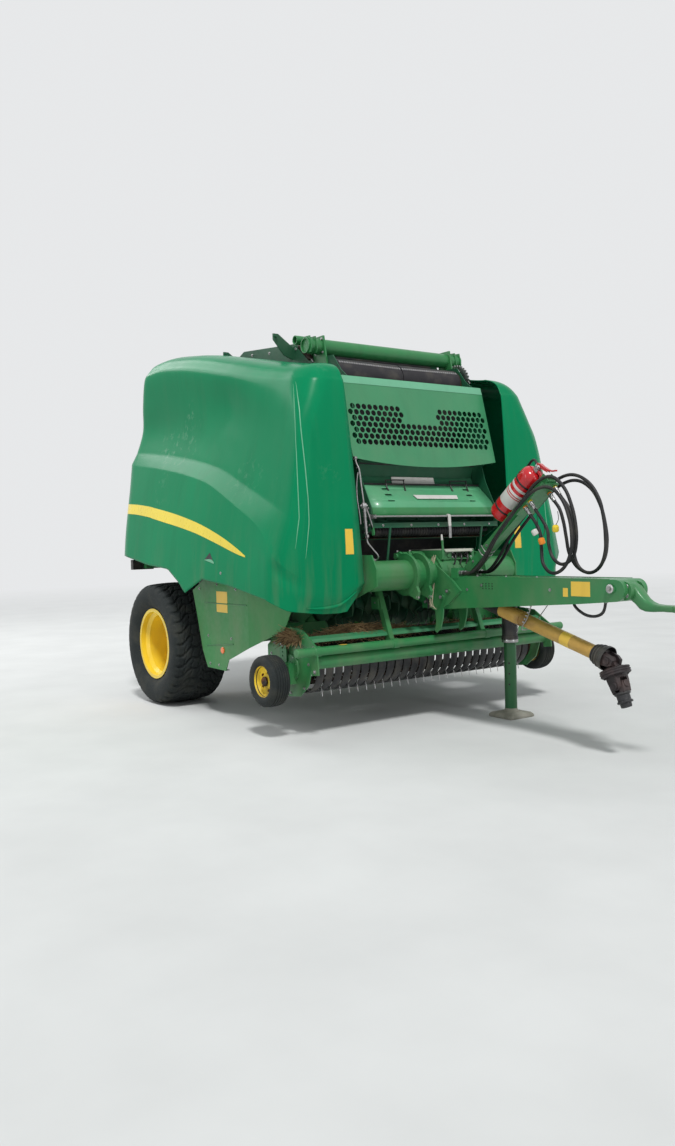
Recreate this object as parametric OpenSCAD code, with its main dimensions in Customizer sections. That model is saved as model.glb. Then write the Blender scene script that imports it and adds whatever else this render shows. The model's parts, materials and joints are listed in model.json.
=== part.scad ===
/* [Overall] */
// How far the front end of the hitch eye lies ahead of the axle
front_reach = 4350; // [4200:10:4600]
// How far the rear of the side shields lies behind the axle
rear_reach = 950; // [930:5:1050]
// Thickness of folded sheet metal
sheet = 5; // [3:1:8]
// Width of the bale chamber between its walls
chamber_w = 1224; // [1180:4:1240]

/* [Main wheels] */
// Outside diameter of the flotation tyre
tyre_d = 1040; // [980:10:1060]
// Width of the tyre
tyre_w = 500; // [440:10:520]
// Distance between the middle planes of the two tyres
track_w = 2220; // [2200:10:2260]
// Diameter of the rim at the bead
rim_d = 572; // [540:2:600]
// Circle on which the wheel studs lie
stud_pcd = 275; // [250:5:300]
// Number of wheel studs
stud_n = 8; // [6:1:10]

/* [Axle and frame] */
// Side of the square axle tube
axle_side = 130; // [110:5:140]
// Radius of the wheel spindle
spindle_r = 35; // [30:1:40]
// Radial running clearance of a shaft in its bore
run_gap = 0.05; // [0.02:0.01:0.1]
// Width of a lower side beam
beam_w = 90; // [70:5:100]
// Height of a lower side beam
beam_h = 150; // [120:5:170]
// Distance from the middle to the inner face of a side beam
beam_y = 655; // [650:1:670]
// Radius of the front cross tube
cross_r = 108; // [90:2:115]

/* [Bale chamber] */
// Thickness of a chamber wall
wall_t = 8; // [6:1:10]
// Width of one bale belt
belt_w = 590; // [560:5:592]
// Thickness of a belt
belt_t = 8; // [6:1:10]
// Radius of a belt roller
roller_r = 80; // [70:2:90]
// Radius of the large upper front roller
upper_r = 112; // [100:2:120]

/* [Side shields] */
// Thickness of the moulded shield
shield_t = 7; // [5:1:9]
// Half width of the machine over the shields
shield_y = 1385; // [1370:5:1395]
// How far the flank above the character line is set in
shield_step = 24; // [10:2:30]
// Radius of the front vertical corner
shield_front_r = 200; // [150:10:240]
// Radius of the rear vertical corner
shield_rear_r = 400; // [320:10:440]

/* [Grille] */
// Diameter of one hole in the grille
hole_d = 43; // [36:1:45]
// Distance between holes along a row
hole_pitch = 52; // [50:1:56]
// Number of rows of holes
hole_rows = 7; // [5:1:7]
// Half width of the grille panel
grille_y = 700; // [690:2:705]

/* [Pickup] */
// Half width over the pickup side plates
pickup_y = 1130; // [1100:5:1140]
// Radius to the tips of the tines
tine_tip_r = 250; // [240:1:256]
// Radius of the curved bands over the reel
band_r = 192; // [180:2:200]
// Distance between two bands
band_pitch = 78; // [74:1:90]
// Number of tine bars on the reel
bar_n = 5; // [4:1:6]
// Half length of the wind guard tube
guard_y = 1290; // [1200:10:1300]
// Outside diameter of a gauge wheel
gauge_d = 362; // [340:2:370]
// Width of a gauge wheel
gauge_w = 150; // [120:5:155]

/* [Drawbar] */
// Width of the drawbar beam
bar_w = 220; // [200:5:250]
// Height of the drawbar beam at its rear end
bar_h_rear = 228; // [200:4:240]
// Radius of the round nose of the drawbar
nose_r = 66; // [58:1:68]
// Radius of the bore of the hitch eye
eye_r = 25.5; // [20:0.5:28]

/* [Drive shaft] */
// Radius of the rear guard tube
guard_rear_r = 52; // [48:1:56]
// Radius of the front guard tube
guard_front_r = 46; // [40:1:47]
// Slope of the parked shaft
shaft_slope = 16.4; // [16:0.1:18]

/* [Jack] */
// Radius of the moving jack tube
jack_r = 46; // [42:1:50]
// Side of the square foot plate
foot_w = 250; // [200:10:280]

/* [Extinguisher] */
// Radius of the cylinder
ext_r = 80; // [70:2:85]
// Length of the cylinder
ext_len = 420; // [380:10:440]

/* [Hoses] */
// Diameter of a hydraulic hose
hose_d = 22; // [18:1:24]

/* [Hidden] */
$fn = 48;

// Colours
green = [0.05, 0.40, 0.19];
dark_green = [0.04, 0.27, 0.14];
yellow = [0.93, 0.72, 0.08];
black = [0.06, 0.06, 0.07];
grey = [0.45, 0.46, 0.47];
tan_yellow = [0.72, 0.55, 0.20];
red = [0.75, 0.05, 0.08];

// The part's origin is on the ground at the middle of its box; the axle stands behind it
axle_x = (rear_reach - front_reach) / 2;
tyre_r = tyre_d / 2;
half_track = track_w / 2;
wall_in = chamber_w / 2;
wall_out = wall_in + wall_t;
axle_end = half_track - tyre_w / 2 - 80;
beam_top = tyre_r + axle_side / 2 + beam_h;
beam_bottom = tyre_r + axle_side / 2;
beam_out = beam_y + beam_w;

// Everything is drawn from the axle's middle on the ground: X forward, Y left, Z up
module from_axle() {
    translate([axle_x, 0, 0]) children();
}

// A flat plate in the XZ plane, from y to y + t
module side_plate(points, y, t) {
    translate([0, y + t, 0]) rotate([90, 0, 0]) linear_extrude(t) polygon(points);
}

// The same plate on both sides, its inner face at y
module side_plates(points, y, t) {
    side_plate(points, y, t);
    side_plate(points, -y - t, t);
}

// A round bar along Y through x, z from y0 to y1
module cross_bar(x, z, r, y0, y1) {
    translate([x, y1, z]) rotate([90, 0, 0]) cylinder(r = r, h = y1 - y0);
}

// A round bar from one point to another
module rod(a, b, r) {
    d = b - a;
    translate(a) rotate([0, acos(d.z / norm(d)), atan2(d.y, d.x)]) cylinder(r = r, h = norm(d));
}

// A copy on each side of the middle plane
module both_sides() {
    children();
    mirror([0, 1, 0]) children();
}

// Tyre cross section, radius along X and distance from the middle plane along Y
tyre_side = tyre_w / 2;
bead_y = 205;
tread_t = 42;
tyre_section = [
    [rim_d / 2, bead_y], [rim_d / 2 + 16, bead_y + 2], [rim_d / 2 + 22, bead_y + 9], [rim_d / 2 + 60, tyre_side - 12],
    [tyre_r - 130, tyre_side], [tyre_r - 70, tyre_side - 4], [tyre_r - 28, tyre_side - 18],
    [tyre_r - 6, tyre_side - 50], [tyre_r, tyre_side - 110]
];
tyre_hollow = [
    [tyre_r - tread_t, tyre_side - 110], [tyre_r - tread_t - 20, tyre_side - 50],
    [tyre_r - 110, tyre_side - 24], [rim_d / 2 + 60, tyre_side - 34],
    [rim_d / 2 + 24, bead_y - 20], [rim_d / 2, bead_y - 20]
];
module tyre() {
    color(black) rotate([90, 0, 0]) rotate_extrude($fn = 96)
        polygon(concat(tyre_section, flip(tyre_section), flip(tyre_hollow), tyre_hollow));
}

// Wheel with a deep dish: barrel, disc and hub, drawn with its outer side towards +Y
rim_edge = 212;
disc_y = -30;
disc_t = 12;
hub_r = 90;
// One side of the barrel's section: radius and distance from the middle plane
rim_outer = [[rim_d / 2 - 30, bead_y - 72], [rim_d / 2 - 2, bead_y - 50], [rim_d / 2, bead_y - 25],
    [rim_d / 2, bead_y], [rim_d / 2 + 16, bead_y + 2], [rim_d / 2 + 16, rim_edge]];
rim_inner = [[rim_d / 2 - 12, rim_edge], [rim_d / 2 - 12, bead_y - 38], [rim_d / 2 - 40, bead_y - 62]];
function flip(points) = [for (i = [len(points) - 1:-1:0]) [points[i].x, -points[i].y]];
module wheel() {
    color(yellow) rotate([-90, 0, 0]) difference() {
        union() {
            rotate_extrude($fn = 96) polygon(concat(rim_outer, rim_inner, flip(rim_inner), flip(rim_outer)));
            translate([0, 0, disc_y]) cylinder(r = rim_d / 2 - 35, h = disc_t);
            translate([0, 0, -130]) cylinder(r = hub_r, h = 150);
            for (i = [0:stud_n - 1]) rotate(i * 360 / stud_n) translate([stud_pcd / 2, 0, disc_y])
                cylinder(r = 11, h = 40);
        }
        translate([0, 0, -140]) cylinder(r = spindle_r + run_gap, h = 150);
        for (i = [0:stud_n - 1]) rotate((i + 0.5) * 360 / stud_n)
            translate([rim_d / 2 - 85, 0, disc_y - 1]) cylinder(r = 24, h = disc_t + 2);
    }
}

module axle() {
    color(green) from_axle() {
        translate([-axle_side / 2, -axle_end, tyre_r - axle_side / 2])
            cube([axle_side, 2 * axle_end, axle_side]);
        both_sides() cross_bar(0, tyre_r, spindle_r, axle_end, half_track);
        both_sides() cross_bar(0, tyre_r, 60, axle_end, half_track - 136);
        // Plates that clamp the axle under the side beams
        both_sides() for (x = [-axle_side / 2 - 14, axle_side / 2]) difference() {
            translate([x, beam_y + 6, tyre_r - axle_side / 2]) cube([14, beam_w - 12, axle_side]);
            cross_bar(x + 7, tyre_r + 200, 1, beam_y, beam_y + 1);
        }
    }
}

// Lower beams, front cross tube with its end plates, lamp carriers and pickup pivot pins
cross_x = 2240;
cross_z = 1108;
pivot_x = 1300;
pivot_z = 830;
side_front = [
    [1240, beam_bottom], [1240, beam_top + 60], [1560, 960], [1900, 1000], [2080, 1180], [2080, 1260],
    [cross_x + 60, 1260], [cross_x + 112, 1160], [cross_x + 112, 1040], [2100, 950], [1700, 900],
    [1420, 760], [1340, beam_bottom]
];
shield_pin_z = 2968;
shield_pin_y = 775;
shield_pin_r = 9;
hinge_x = [430, 1240];
module frame() {
    color(green) from_axle() cross_bar(cross_x, cross_z, cross_r, -beam_y - 20, beam_y + 20);
    color(green) from_axle() both_sides() {
        difference() {
            translate([-500, beam_y, beam_bottom]) cube([1840, beam_w, beam_h]);
            translate([-501, beam_y + 8, beam_bottom + 8]) cube([1842, beam_w - 16, beam_h - 16]);
        }
        side_plate(side_front, beam_y + 20, 10);
        // Carrier of the rear lamps
        translate([-500, beam_out - 10, beam_bottom]) cube([90, 10, 640]);
        translate([-500, beam_out - 10, 1160]) cube([60, 440, 60]);
    }
}

// Back face of the grille panel, upper and lower edge
grille_top = [1975, 2563];
grille_low = [2130, 1953];

// A round bar along X from x at y, z
module cross_bar_x_at(x, y, z, r, h) {
    translate([x, y, z]) rotate([0, 90, 0]) cylinder(r = r, h = h);
}

// Chamber walls, in one piece from the feed opening to the top frame
wall_outline = [
    [-500, 790], [-560, 1000], [-610, 1400], [-600, 1900], [-420, 2300], [-250, 2520], [100, 2740],
    [260, 2920], [480, 3000], [1270, 2920], [1500, 2905], [1560, 2760], [1800, 2745], [1900, 2620],
    grille_top, grille_low, [1985, 1900], [1985, 1300], [1850, 1080], [1760, 960], [1720, 820],
    [1600, 740], [1440, 710], [-450, 710]
];
gate_x = 400;
gate_z = 2700;
wall_pin_r = 25;
module chamber_walls() {
    color(green) from_axle() both_sides() {
        difference() {
            side_plate(wall_outline, wall_in, wall_t);
            cross_bar(rotor_x, rotor_z, rotor_shaft_r + run_gap, wall_in - 1, wall_out + 1);
        }
        cross_bar(gate_x, gate_z, wall_pin_r, wall_out, wall_out + 50);
        cross_bar(pivot_x, pivot_z, wall_pin_r, wall_out, wall_out + 35);
        // Feet that bolt the wall to the side beam
        for (x = [-420, 250, 900]) translate([x, wall_out, beam_bottom + 20]) cube([90, beam_y - wall_out, 120]);
        cross_bar(cyl_a.x, cyl_a.y, 20, wall_out, wall_out + 70);
        // Brackets and pins on which the shields hang
        for (x = hinge_x) {
            translate([x, 0, 0]) rotate([90, 0, 90]) linear_extrude(12) polygon([[wall_out, 2800],
                [wall_out, 2900], [750, 2990], [795, 2990], [795, 2945], [700, 2830]]);
            cross_bar_x_at(x + 12, shield_pin_y, shield_pin_z, shield_pin_r, 22);
        }
    }
}

// Lower side panels ahead of the wheels
skirt_y = 1215;
skirt_outline = [
    [575, 994], [801, 1095], [1323, 1044], [1802, 985], [1990, 890], [1900, 742], [1160, 473],
    [1106, 383], [804, 385], [725, 515], [640, 800]
];
skirt_fold = 1480;
module side_skirts() {
    color(green) from_axle() both_sides() {
        // Flat rear part, and the front part folded inward
        difference() {
            side_plate(skirt_outline, skirt_y, sheet);
            translate([skirt_fold, skirt_y - 1, 300]) cube([800, sheet + 2, 900]);
        }
        translate([skirt_fold, skirt_y, 0]) rotate([0, 0, -7]) translate([-skirt_fold, 0, 0]) difference() {
            side_plate(skirt_outline, 0, sheet);
            translate([0, -1, 300]) cube([skirt_fold, sheet + 2, 900]);
        }
        // Lower edge turned in, and the brackets to the side beam
        translate([812, skirt_y - 30, 384]) cube([290, 30, sheet]);
        for (x = [800, 1180]) difference() {
            translate([x, beam_out, 620]) cube([60, skirt_y - beam_out, 80]);
            translate([x + 6, beam_out - 1, 626]) cube([60, skirt_y - beam_out + 2, 68]);
        }
    }
}

// Grille panel, leaning back, with staggered rows of holes and a bowed lower lip
grille_h = norm(grille_top - grille_low);
grille_lean = atan2(grille_low.x - grille_top.x, grille_top.y - grille_low.y);
grille_bow = 55;
emblem_half = 3;
module on_grille() {
    translate([grille_low.x, 0, grille_low.y]) rotate([0, -grille_lean, 0]) children();
}
module grille() {
    color(green) from_axle() on_grille() {
        // Turned-back sides and top
        for (y = [-grille_y, grille_y - sheet]) translate([-45, y, 0]) cube([46, sheet, grille_h]);
        translate([-30, -grille_y, grille_h - sheet]) cube([31, grille_y - wall_out - 1, sheet]);
        translate([-30, wall_out + 1, grille_h - sheet]) cube([31, grille_y - wall_out - 1, sheet]);
    }
    color(green) from_axle() on_grille()
        rotate([90, 0, 90]) linear_extrude(sheet) difference() {
            union() {
                translate([-grille_y, 0]) square([2 * grille_y, grille_h]);
                intersection() {
                    translate([0, 4400 - grille_bow]) circle(r = 4400, $fn = 360);
                    translate([-grille_y, -grille_bow]) square([2 * grille_y, grille_bow + 1]);
                }
            }
            for (r = [0:hole_rows - 1]) {
                n = r % 2 == 0 ? 12 : 12.5;
                for (i = [-n:n]) if (r < 4 || abs(i) > emblem_half)
                    translate([i * hole_pitch, 125 + r * hole_pitch * sin(60)]) circle(d = hole_d, $fn = 16);
            }
        }
}

// Places of the belt rollers
upper_x = 1740;
upper_z = 2608;
low_x = 1500;
low_z = 1180;
back_x = 300;
back_z = 2560;
wheel_r = 174;
wheel_teeth = 36;
// Top cross tube with its end brackets
top_r = 58;
top_gap = 44;
top_x = 1640;
top_z = upper_z + upper_r + belt_t + top_gap + top_r;
function near_top(points) = [for (p = points) [top_x, top_z] + p];
module top_tube() {
    color(green) from_axle() {
        difference() {
            union() {
                cross_bar(top_x, top_z, top_r, -760, 760);
                // Short pipe at the right-hand end
                cross_bar(top_x - 120, top_z + 60, 34, -770, -wall_out);
                side_plate(near_top([[-170, 30], [-140, 98], [-40, 70], [-50, -30], [-140, -50]]), -wall_out - 16, 16);
            }
            cross_bar(top_x - 120, top_z + 60, 27, -780, -wall_out - 20);
            both_sides() cross_bar(top_x, top_z, top_r - 8, 600, 770);
        }
        both_sides() side_plate(near_top([[-70, -150], [-70, 75], [60, 75], [100, -150]]), wall_out, 14);
        both_sides() for (y = [690, 740]) side_plate(near_top([[-50, -40], [-40, 70], [50, 65], [72, -30], [60, -58]]),
            y, 8);
    }
}

// Belt rollers that the frame carries, and the smooth rollers at the chamber's mouth
module chamber_rollers() {
    color(grey) from_axle() {
        for (p = [[upper_x, upper_z, upper_r], [low_x, low_z, roller_r], [back_x, back_z, roller_r]])
            cross_bar(p[0], p[1], p[2], -wall_in, wall_in);
        for (p = [[1290, 1020, 90], [1080, 850, 60]]) cross_bar(p[0], p[1], p[2], -wall_in, wall_in);
        // Chain wheel on the left-hand end of the upper roller
        translate([upper_x, wall_out + 32, upper_z]) rotate([90, 0, 0]) {
            linear_extrude(10) difference() {
                polygon([for (i = [0:wheel_teeth * 4 - 1]) let (a = i * 90 / wheel_teeth,
                    r = i % 4 < 2 ? wheel_r : wheel_r - 12) [r * cos(a), r * sin(a)]]);
                for (a = [0:72:288]) rotate(a) translate([105, 0]) circle(r = 32);
            }
            translate([0, 0, -6]) cylinder(r = 55, h = 38);
        }
    }
}

// A belt loop round two or three rollers, given as [x, z, radius]
belt_gap = 0.8;
module belt_loop(rollers) {
    difference() {
        hull() for (p = rollers) translate([p[0], p[1]]) circle(r = p[2] + belt_gap + belt_t);
        hull() for (p = rollers) translate([p[0], p[1]]) circle(r = p[2] + belt_gap);
    }
}
module belts(rollers) {
    both_sides() translate([0, 5 + belt_w, 0]) rotate([90, 0, 0]) linear_extrude(belt_w)
        belt_loop(rollers);
}
module chamber_belts() {
    color(black) from_axle()
        belts([[upper_x, upper_z, upper_r], [low_x, low_z, roller_r], [back_x, back_z, roller_r]]);
}

// Feed rotor: shaft with rows of tines
rotor_x = 1560;
rotor_z = 850;
rotor_r = 180;
rotor_shaft_r = 30;
module feed_rotor() {
    color(dark_green) from_axle() translate([rotor_x, 0, rotor_z]) rotate([90, 0, 0]) {
        translate([0, 0, -wall_out]) cylinder(r = rotor_shaft_r, h = 2 * wall_out);
        translate([0, 0, -wall_in + 6]) cylinder(r = 85, h = chamber_w - 12);
        for (k = [-6:6]) translate([0, 0, k * 90 - 6]) linear_extrude(12) difference() {
            circle(r = rotor_r);
            for (i = [0:3]) rotate(i * 90 + 20 * k) translate([92, 14]) square([200, 260]);
        }
    }
}

// Net box between grille and drawbar: back sheet, apron, end plates, front angle and its struts
net_y = wall_in - sheet;
net_back = [[1965, 1960], [1975, 1960], [1945, 1840], [1985, 1760], [1985, 1500], [1990, 1405],
    [2060, 1372], [2058, 1366], [1984, 1400], [1975, 1500], [1975, 1755], [1933, 1840]];
net_strut_y = 450;
module net_box() {
    color(dark_green) from_axle() {
        translate([0, net_y, 0]) rotate([90, 0, 0]) linear_extrude(2 * net_y) polygon(net_back);
        both_sides() difference() {
            side_plate([[1965, 1370], [1965, 1960], [2060, 1960], [2110, 1800], [2210, 1610],
                [2230, 1490], [2230, 1446], [2080, 1370]], net_y, sheet);
            cross_bar(net_roller_x, net_roller_z, net_shaft_r + run_gap, net_y - 1, wall_in + 1);
        }
        // Front angle under the cover
        translate([2190, -net_y, 1480]) cube([40, 2 * net_y, 6]);
        translate([2224, -net_y, 1450]) cube([6, 2 * net_y, 34]);
        both_sides() rod([2225, net_strut_y, 1466], [2178, net_strut_y, 1207], 9);
    }
}

// Hinged net cover, with turned-in ends and two groups of slots
cover_side = [[2030, 1772], [2130, 1745], [2225, 1590], [2210, 1530], [2204, 1531], [2218, 1589],
    [2126, 1739], [2029, 1766]];
module net_cover() {
    half = net_y - 8;
    color(green) from_axle() {
        difference() {
            translate([0, half, 0]) rotate([90, 0, 0]) linear_extrude(2 * half) polygon(cover_side);
            for (y = [-430, 370]) for (i = [0:2]) translate([2056 + 20 * i, y - 12 * i, 1700]) cube([7, 60, 90]);
        }
        both_sides() side_plate([[2040, 1764], [2128, 1741], [2221, 1590], [2208, 1536], [2188, 1590], [2112, 1700]],
            half - 5, 5);
        cross_bar(2030, 1769, 7, -net_y + 0.3, net_y - 0.3);
    }
}

// Ribbed net feed roller
net_roller_x = 2110;
net_roller_z = 1425;
net_shaft_r = 14;
net_rib_n = 40;
rib_pitch = 1040 / net_rib_n;
module net_roller() {
    color(black) from_axle() translate([net_roller_x, 0, net_roller_z]) rotate([90, 0, 0]) {
        translate([0, 0, -wall_in + 0.3]) cylinder(r = net_shaft_r, h = chamber_w - 0.6);
        rotate_extrude() polygon(concat([[0, -520]], [for (i = [0:net_rib_n - 1]) each [[30, i * rib_pitch - 520],
            [38, i * rib_pitch - 514], [38, i * rib_pitch - 504], [30, i * rib_pitch - 498]]], [[30, 520], [0, 520]]));
    }
}

// Link rods beside the right-hand shield and the actuating rod across the net cover
link_line = [[2142, -690, 1950], [2190, -684, 1860], [2196, -662, 1615], [2200, -640, 1360], [2198, -592, 1222]];
module net_linkage() {
    color(grey) from_axle() {
        cross_bar(2262, 1530, 8, -wall_out, wall_out);
        for (y = [-wall_out, wall_in]) translate([2190, y, 1515]) cube([85, 8, 30]);
        // Rods down the right-hand side to the cross tube, with the thicker sleeve between two joints
        for (i = [0:3]) rod(link_line[i], link_line[i + 1], i == 2 ? 14 : 6);
        for (i = [1:3]) translate(link_line[i]) sphere(r = i == 1 ? 10 : 20);
        translate([2198, -592, 1214]) cylinder(r = 14, h = 12);
        // Lever of the net brake, on the end plate of the net box
        translate([2196, -wall_in - 30, 1540]) rotate([0, 18, 0]) cube([8, 30, 70]);
        cross_bar(2202, 1560, 14, -wall_in - 48, -wall_in);
        // Clamp in the middle of the rod
        translate([2254, 96, 1400]) cube([16, 26, 122]);
    }
}

// Gearbox round the cross tube, its clamp collars, side shaft, control box and lever
gearbox_y = 96;
gearbox_r = 128;
collar_r = 152;
module gearbox() {
    color(green) from_axle() {
        difference() {
            union() {
                cross_bar(cross_x, cross_z, gearbox_r, -gearbox_y, gearbox_y);
                translate([2030, -gearbox_y, 910]) cube([200, 2 * gearbox_y, 230]);
                translate([2200, -gearbox_y + 12, 905]) cube([138, 2 * gearbox_y - 24, 190]);
                // Ribs of the casting
                for (y = [-gearbox_y, -32, 24, gearbox_y - 8]) side_plate([[2015, 930], [2060, 1190],
                    [2180, 1242], [2300, 1240], [2366, 1150], [2372, 1050], [2330, 890], [2120, 890]], y, 8);
                // Clamp collars with their lugs
                both_sides() for (y = [205, 322]) {
                    cross_bar(cross_x, cross_z, collar_r, y, y + 22);
                    side_plate([[2130, 1210], [2120, 1262], [2180, 1275], [2240, 1240]], y, 22);
                    side_plate([[2290, 960], [2372, 930], [2392, 985], [2350, 1060]], y, 22);
                }
            }
            cross_bar(cross_x, cross_z, cross_r, -400, 400);
        }
        // Side shaft through the collars
        cross_bar(2158, 1240, 20, -360, -90);
        cross_bar(2158, 1240, 32, -300, -262);
        // Control box with its hollow front
        difference() {
            translate([1960, -75, 1206]) cube([375, 330, 70]);
            translate([2300, 30, 1216]) cube([36, 200, 46]);
            translate([1966, -69, 1200]) cube([320, 318, 70]);
            cross_bar(cross_x, cross_z, cross_r, -400, 400);
        }
        cross_bar_x(2318, 1238, 14, 24);
        // Lever
        translate([2342, -60, 1214]) cylinder(r = 7, h = 136);
        translate([2330, -68, 1214]) cube([14, 16, 30]);
        cross_bar_x(2330, shaft_z, 58, 40);
        cross_bar_x(2340, shaft_z, 32, 110);
        joint_fork(shaft_x, shaft_z, 0);
    }
}

// A round bar along X from x, at height z
module cross_bar_x(x, z, r, h) {
    translate([x, 0, z]) rotate([0, 90, 0]) cylinder(r = r, h = h);
}

// Driving half of a universal joint: flange, two ears and the cross pin at x, z, turned down by slope
ear_in = 24;
ear_out = 40;
pin_r = 12;
module joint_fork(x, z, slope) {
    translate([x, 0, z]) rotate([0, slope, 0]) {
        translate([-60, 0, 0]) rotate([0, 90, 0]) cylinder(r = 46, h = 20);
        for (y = [-ear_out, ear_in]) {
            translate([-50, y, -25]) cube([50, ear_out - ear_in, 50]);
            translate([0, y + ear_out - ear_in, 0]) rotate([90, 0, 0]) cylinder(r = 25, h = ear_out - ear_in);
        }
        translate([0, ear_out, 0]) rotate([90, 0, 0]) cylinder(r = pin_r, h = 2 * ear_out);
    }
}

// Driven half: an eye on the cross pin with a neck of length l, pointing along +X before it is turned
module joint_eye(x, z, slope, l) {
    translate([x, 0, z]) rotate([0, slope, 0]) difference() {
        union() {
            translate([0, ear_in - 4, 0]) rotate([90, 0, 0]) cylinder(r = 25, h = 2 * ear_in - 8);
            translate([0, 4 - ear_in, -18]) cube([l, 2 * ear_in - 8, 36]);
        }
        translate([0, ear_in, 0]) rotate([90, 0, 0]) cylinder(r = pin_r + run_gap, h = 2 * ear_in);
    }
}

// Drawbar: closed beam ahead, open fork at the rear that straddles the drive shaft
bar_rear = 2386;
bar_front = 3923;
bar_top = 1078;
nose_z = 1028;
fork_end = 3150;
bar_t = 12;
bar_side = [
    [bar_rear, bar_top - bar_h_rear], [bar_rear, bar_top], [bar_rear + 84, bar_top + 12], [2600, bar_top + 12],
    [bar_front, nose_z + nose_r], [bar_front, nose_z - nose_r], [3650, 938]
];
// Outline of the cheek plates that carry the beam on the cross tube
cheek = [
    [2170, 852], [2170, 1200], [2290, 1200], [2483, 1076], [2586, 989], [2466, 892], [2404, 862],
    [2392, 780], [2366, 706], [2322, 674], [2306, 690], [2322, 760], [2312, 836], [2262, 852]
];
module drawbar() {
    inner = bar_w / 2 - bar_t;
    color(green) from_axle() difference() {
        union() {
            translate([0, bar_w / 2, 0]) rotate([90, 0, 0]) linear_extrude(bar_w) polygon(bar_side);
            cross_bar(bar_front, nose_z, nose_r, -bar_w / 2, bar_w / 2);
            both_sides() side_plate(cheek, bar_w / 2, bar_t);
            // Heads of the nose pin and pads of the cheek bolts
            cross_bar(bar_front - 14, nose_z + 8, 18, -bar_w / 2 - 10, bar_w / 2 + 10);
            both_sides() for (p = [[2230, 900], [2230, 1180], [2470, 985], [2400, 940]])
                cross_bar(p[0], p[1], 15, bar_w / 2, bar_w / 2 + bar_t + 12);
            // Blocks in which the hoses end
            both_sides() translate([2490, 46, bar_top]) cube([70, 70, 72]);
        }
        translate([bar_rear - 1, -inner, 700]) cube([fork_end - bar_rear, 2 * inner, bar_top - 700 - 2 * bar_t]);
        translate([2160, -inner, 640]) cube([700, 2 * inner, bar_top - 640 - 2 * bar_t]);
        translate([fork_end + 20, -inner, nose_z - nose_r + 12])
            cube([bar_front - fork_end - 80, 2 * inner, 2 * nose_r - 24]);
        cross_bar(cross_x, cross_z, cross_r, -200, 200);
    }
}

// Hitch tongue: casting on the nose, bent tongue and eye
eye_x = front_reach - 55;
eye_z = 929;
tongue_root = bar_front + 20;
tongue_len = eye_x - tongue_root;
module hitch_tongue() {
    color(green) from_axle() difference() {
        union() {
            // Shank that narrows from the nose to the eye
            translate([0, 45, 0]) rotate([90, 0, 0]) linear_extrude(90)
                polygon([[tongue_root, nose_z - 50], [tongue_root, nose_z + 52], [tongue_root + 64, nose_z + 30],
                    [tongue_root + 0.36 * tongue_len, 985], [tongue_root + 0.53 * tongue_len, 952],
                    [tongue_root + 0.73 * tongue_len, eye_z + 18], [eye_x, eye_z + 18], [eye_x, eye_z - 18],
                    [tongue_root + 0.67 * tongue_len, eye_z - 18], [tongue_root + 0.48 * tongue_len, eye_z - 24],
                    [tongue_root + 0.3 * tongue_len, eye_z - 24]]);
            translate([eye_x, 0, eye_z - 18]) cylinder(r = 55, h = 36);
            // Cheeks of the casting beside the shank
            both_sides() side_plate([[tongue_root, nose_z - 58], [tongue_root, nose_z + 58],
                [tongue_root + 58, nose_z + 44], [tongue_root + 70, nose_z - 30]], 45, 30);
        }
        cross_bar(bar_front, nose_z, nose_r, -200, 200);
        // Waist of the shank
        both_sides() translate([tongue_root + 0.48 * tongue_len, 34, eye_z - 80]) rotate([0, 0, -3])
            cube([150, 60, 150]);
        translate([eye_x, 0, eye_z - 30]) cylinder(r = eye_r, h = 60);
    }
}

// Sloped channel that carries the hoses and the extinguisher
rack_a = [2540, 1078];
rack_b = [3349, 1724];
rack_slope = atan2(rack_b.y - rack_a.y, rack_b.x - rack_a.x);
rack_len = norm(rack_b - rack_a);
rack_under = 15;
module on_rack() {
    translate([rack_a.x, 0, rack_a.y]) rotate([0, -rack_slope, 0]) children();
}
module hose_rack() {
    color(green) from_axle() {
        intersection() {
            on_rack() difference() {
                translate([-80, -40, -5]) cube([rack_len + 80, 80, 60]);
                translate([-81, -34, 1]) cube([rack_len + 82, 68, 60]);
            }
            translate([2400, -100, bar_top + 12]) cube([1200, 200, 900]);
        }
        // Plate under which the couplers are parked
        on_rack() translate([rack_len - 330, -80, -rack_under]) cube([310, 160, 12]);
        // Saddles of the extinguisher
        on_rack() difference() {
            for (x = [60, ext_len - 110]) translate([rack_len - ext_len - 60 + x, -37, 0]) cube([30, 74, 100]);
            translate([rack_len - ext_len - 80, 0, ext_r + 56]) rotate([0, 90, 0])
                cylinder(r = ext_r, h = ext_len + 40);
        }
    }
}

// Fire extinguisher lying on the rack
module extinguisher() {
    color(red) from_axle() on_rack() translate([rack_len - ext_len - 60, 0, ext_r + 56]) rotate([0, 90, 0]) {
        rotate_extrude() polygon([[0, -30], [ext_r * 0.7, -22], [ext_r, 0], [ext_r, ext_len - 50],
            [ext_r * 0.7, ext_len - 10], [24, ext_len], [18, ext_len + 8], [18, ext_len + 44], [0, ext_len + 44]]);
        // Valve, carrying handle and squeeze lever
        translate([-22, -12, ext_len + 20]) cube([44, 24, 24]);
        translate([-110, -9, ext_len + 40]) cube([120, 18, 5]);
        translate([-118, -9, ext_len + 58]) rotate([0, 8, 0]) cube([128, 18, 5]);
        translate([-8, -7, ext_len + 40]) cube([16, 14, 24]);
    }
}

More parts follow.
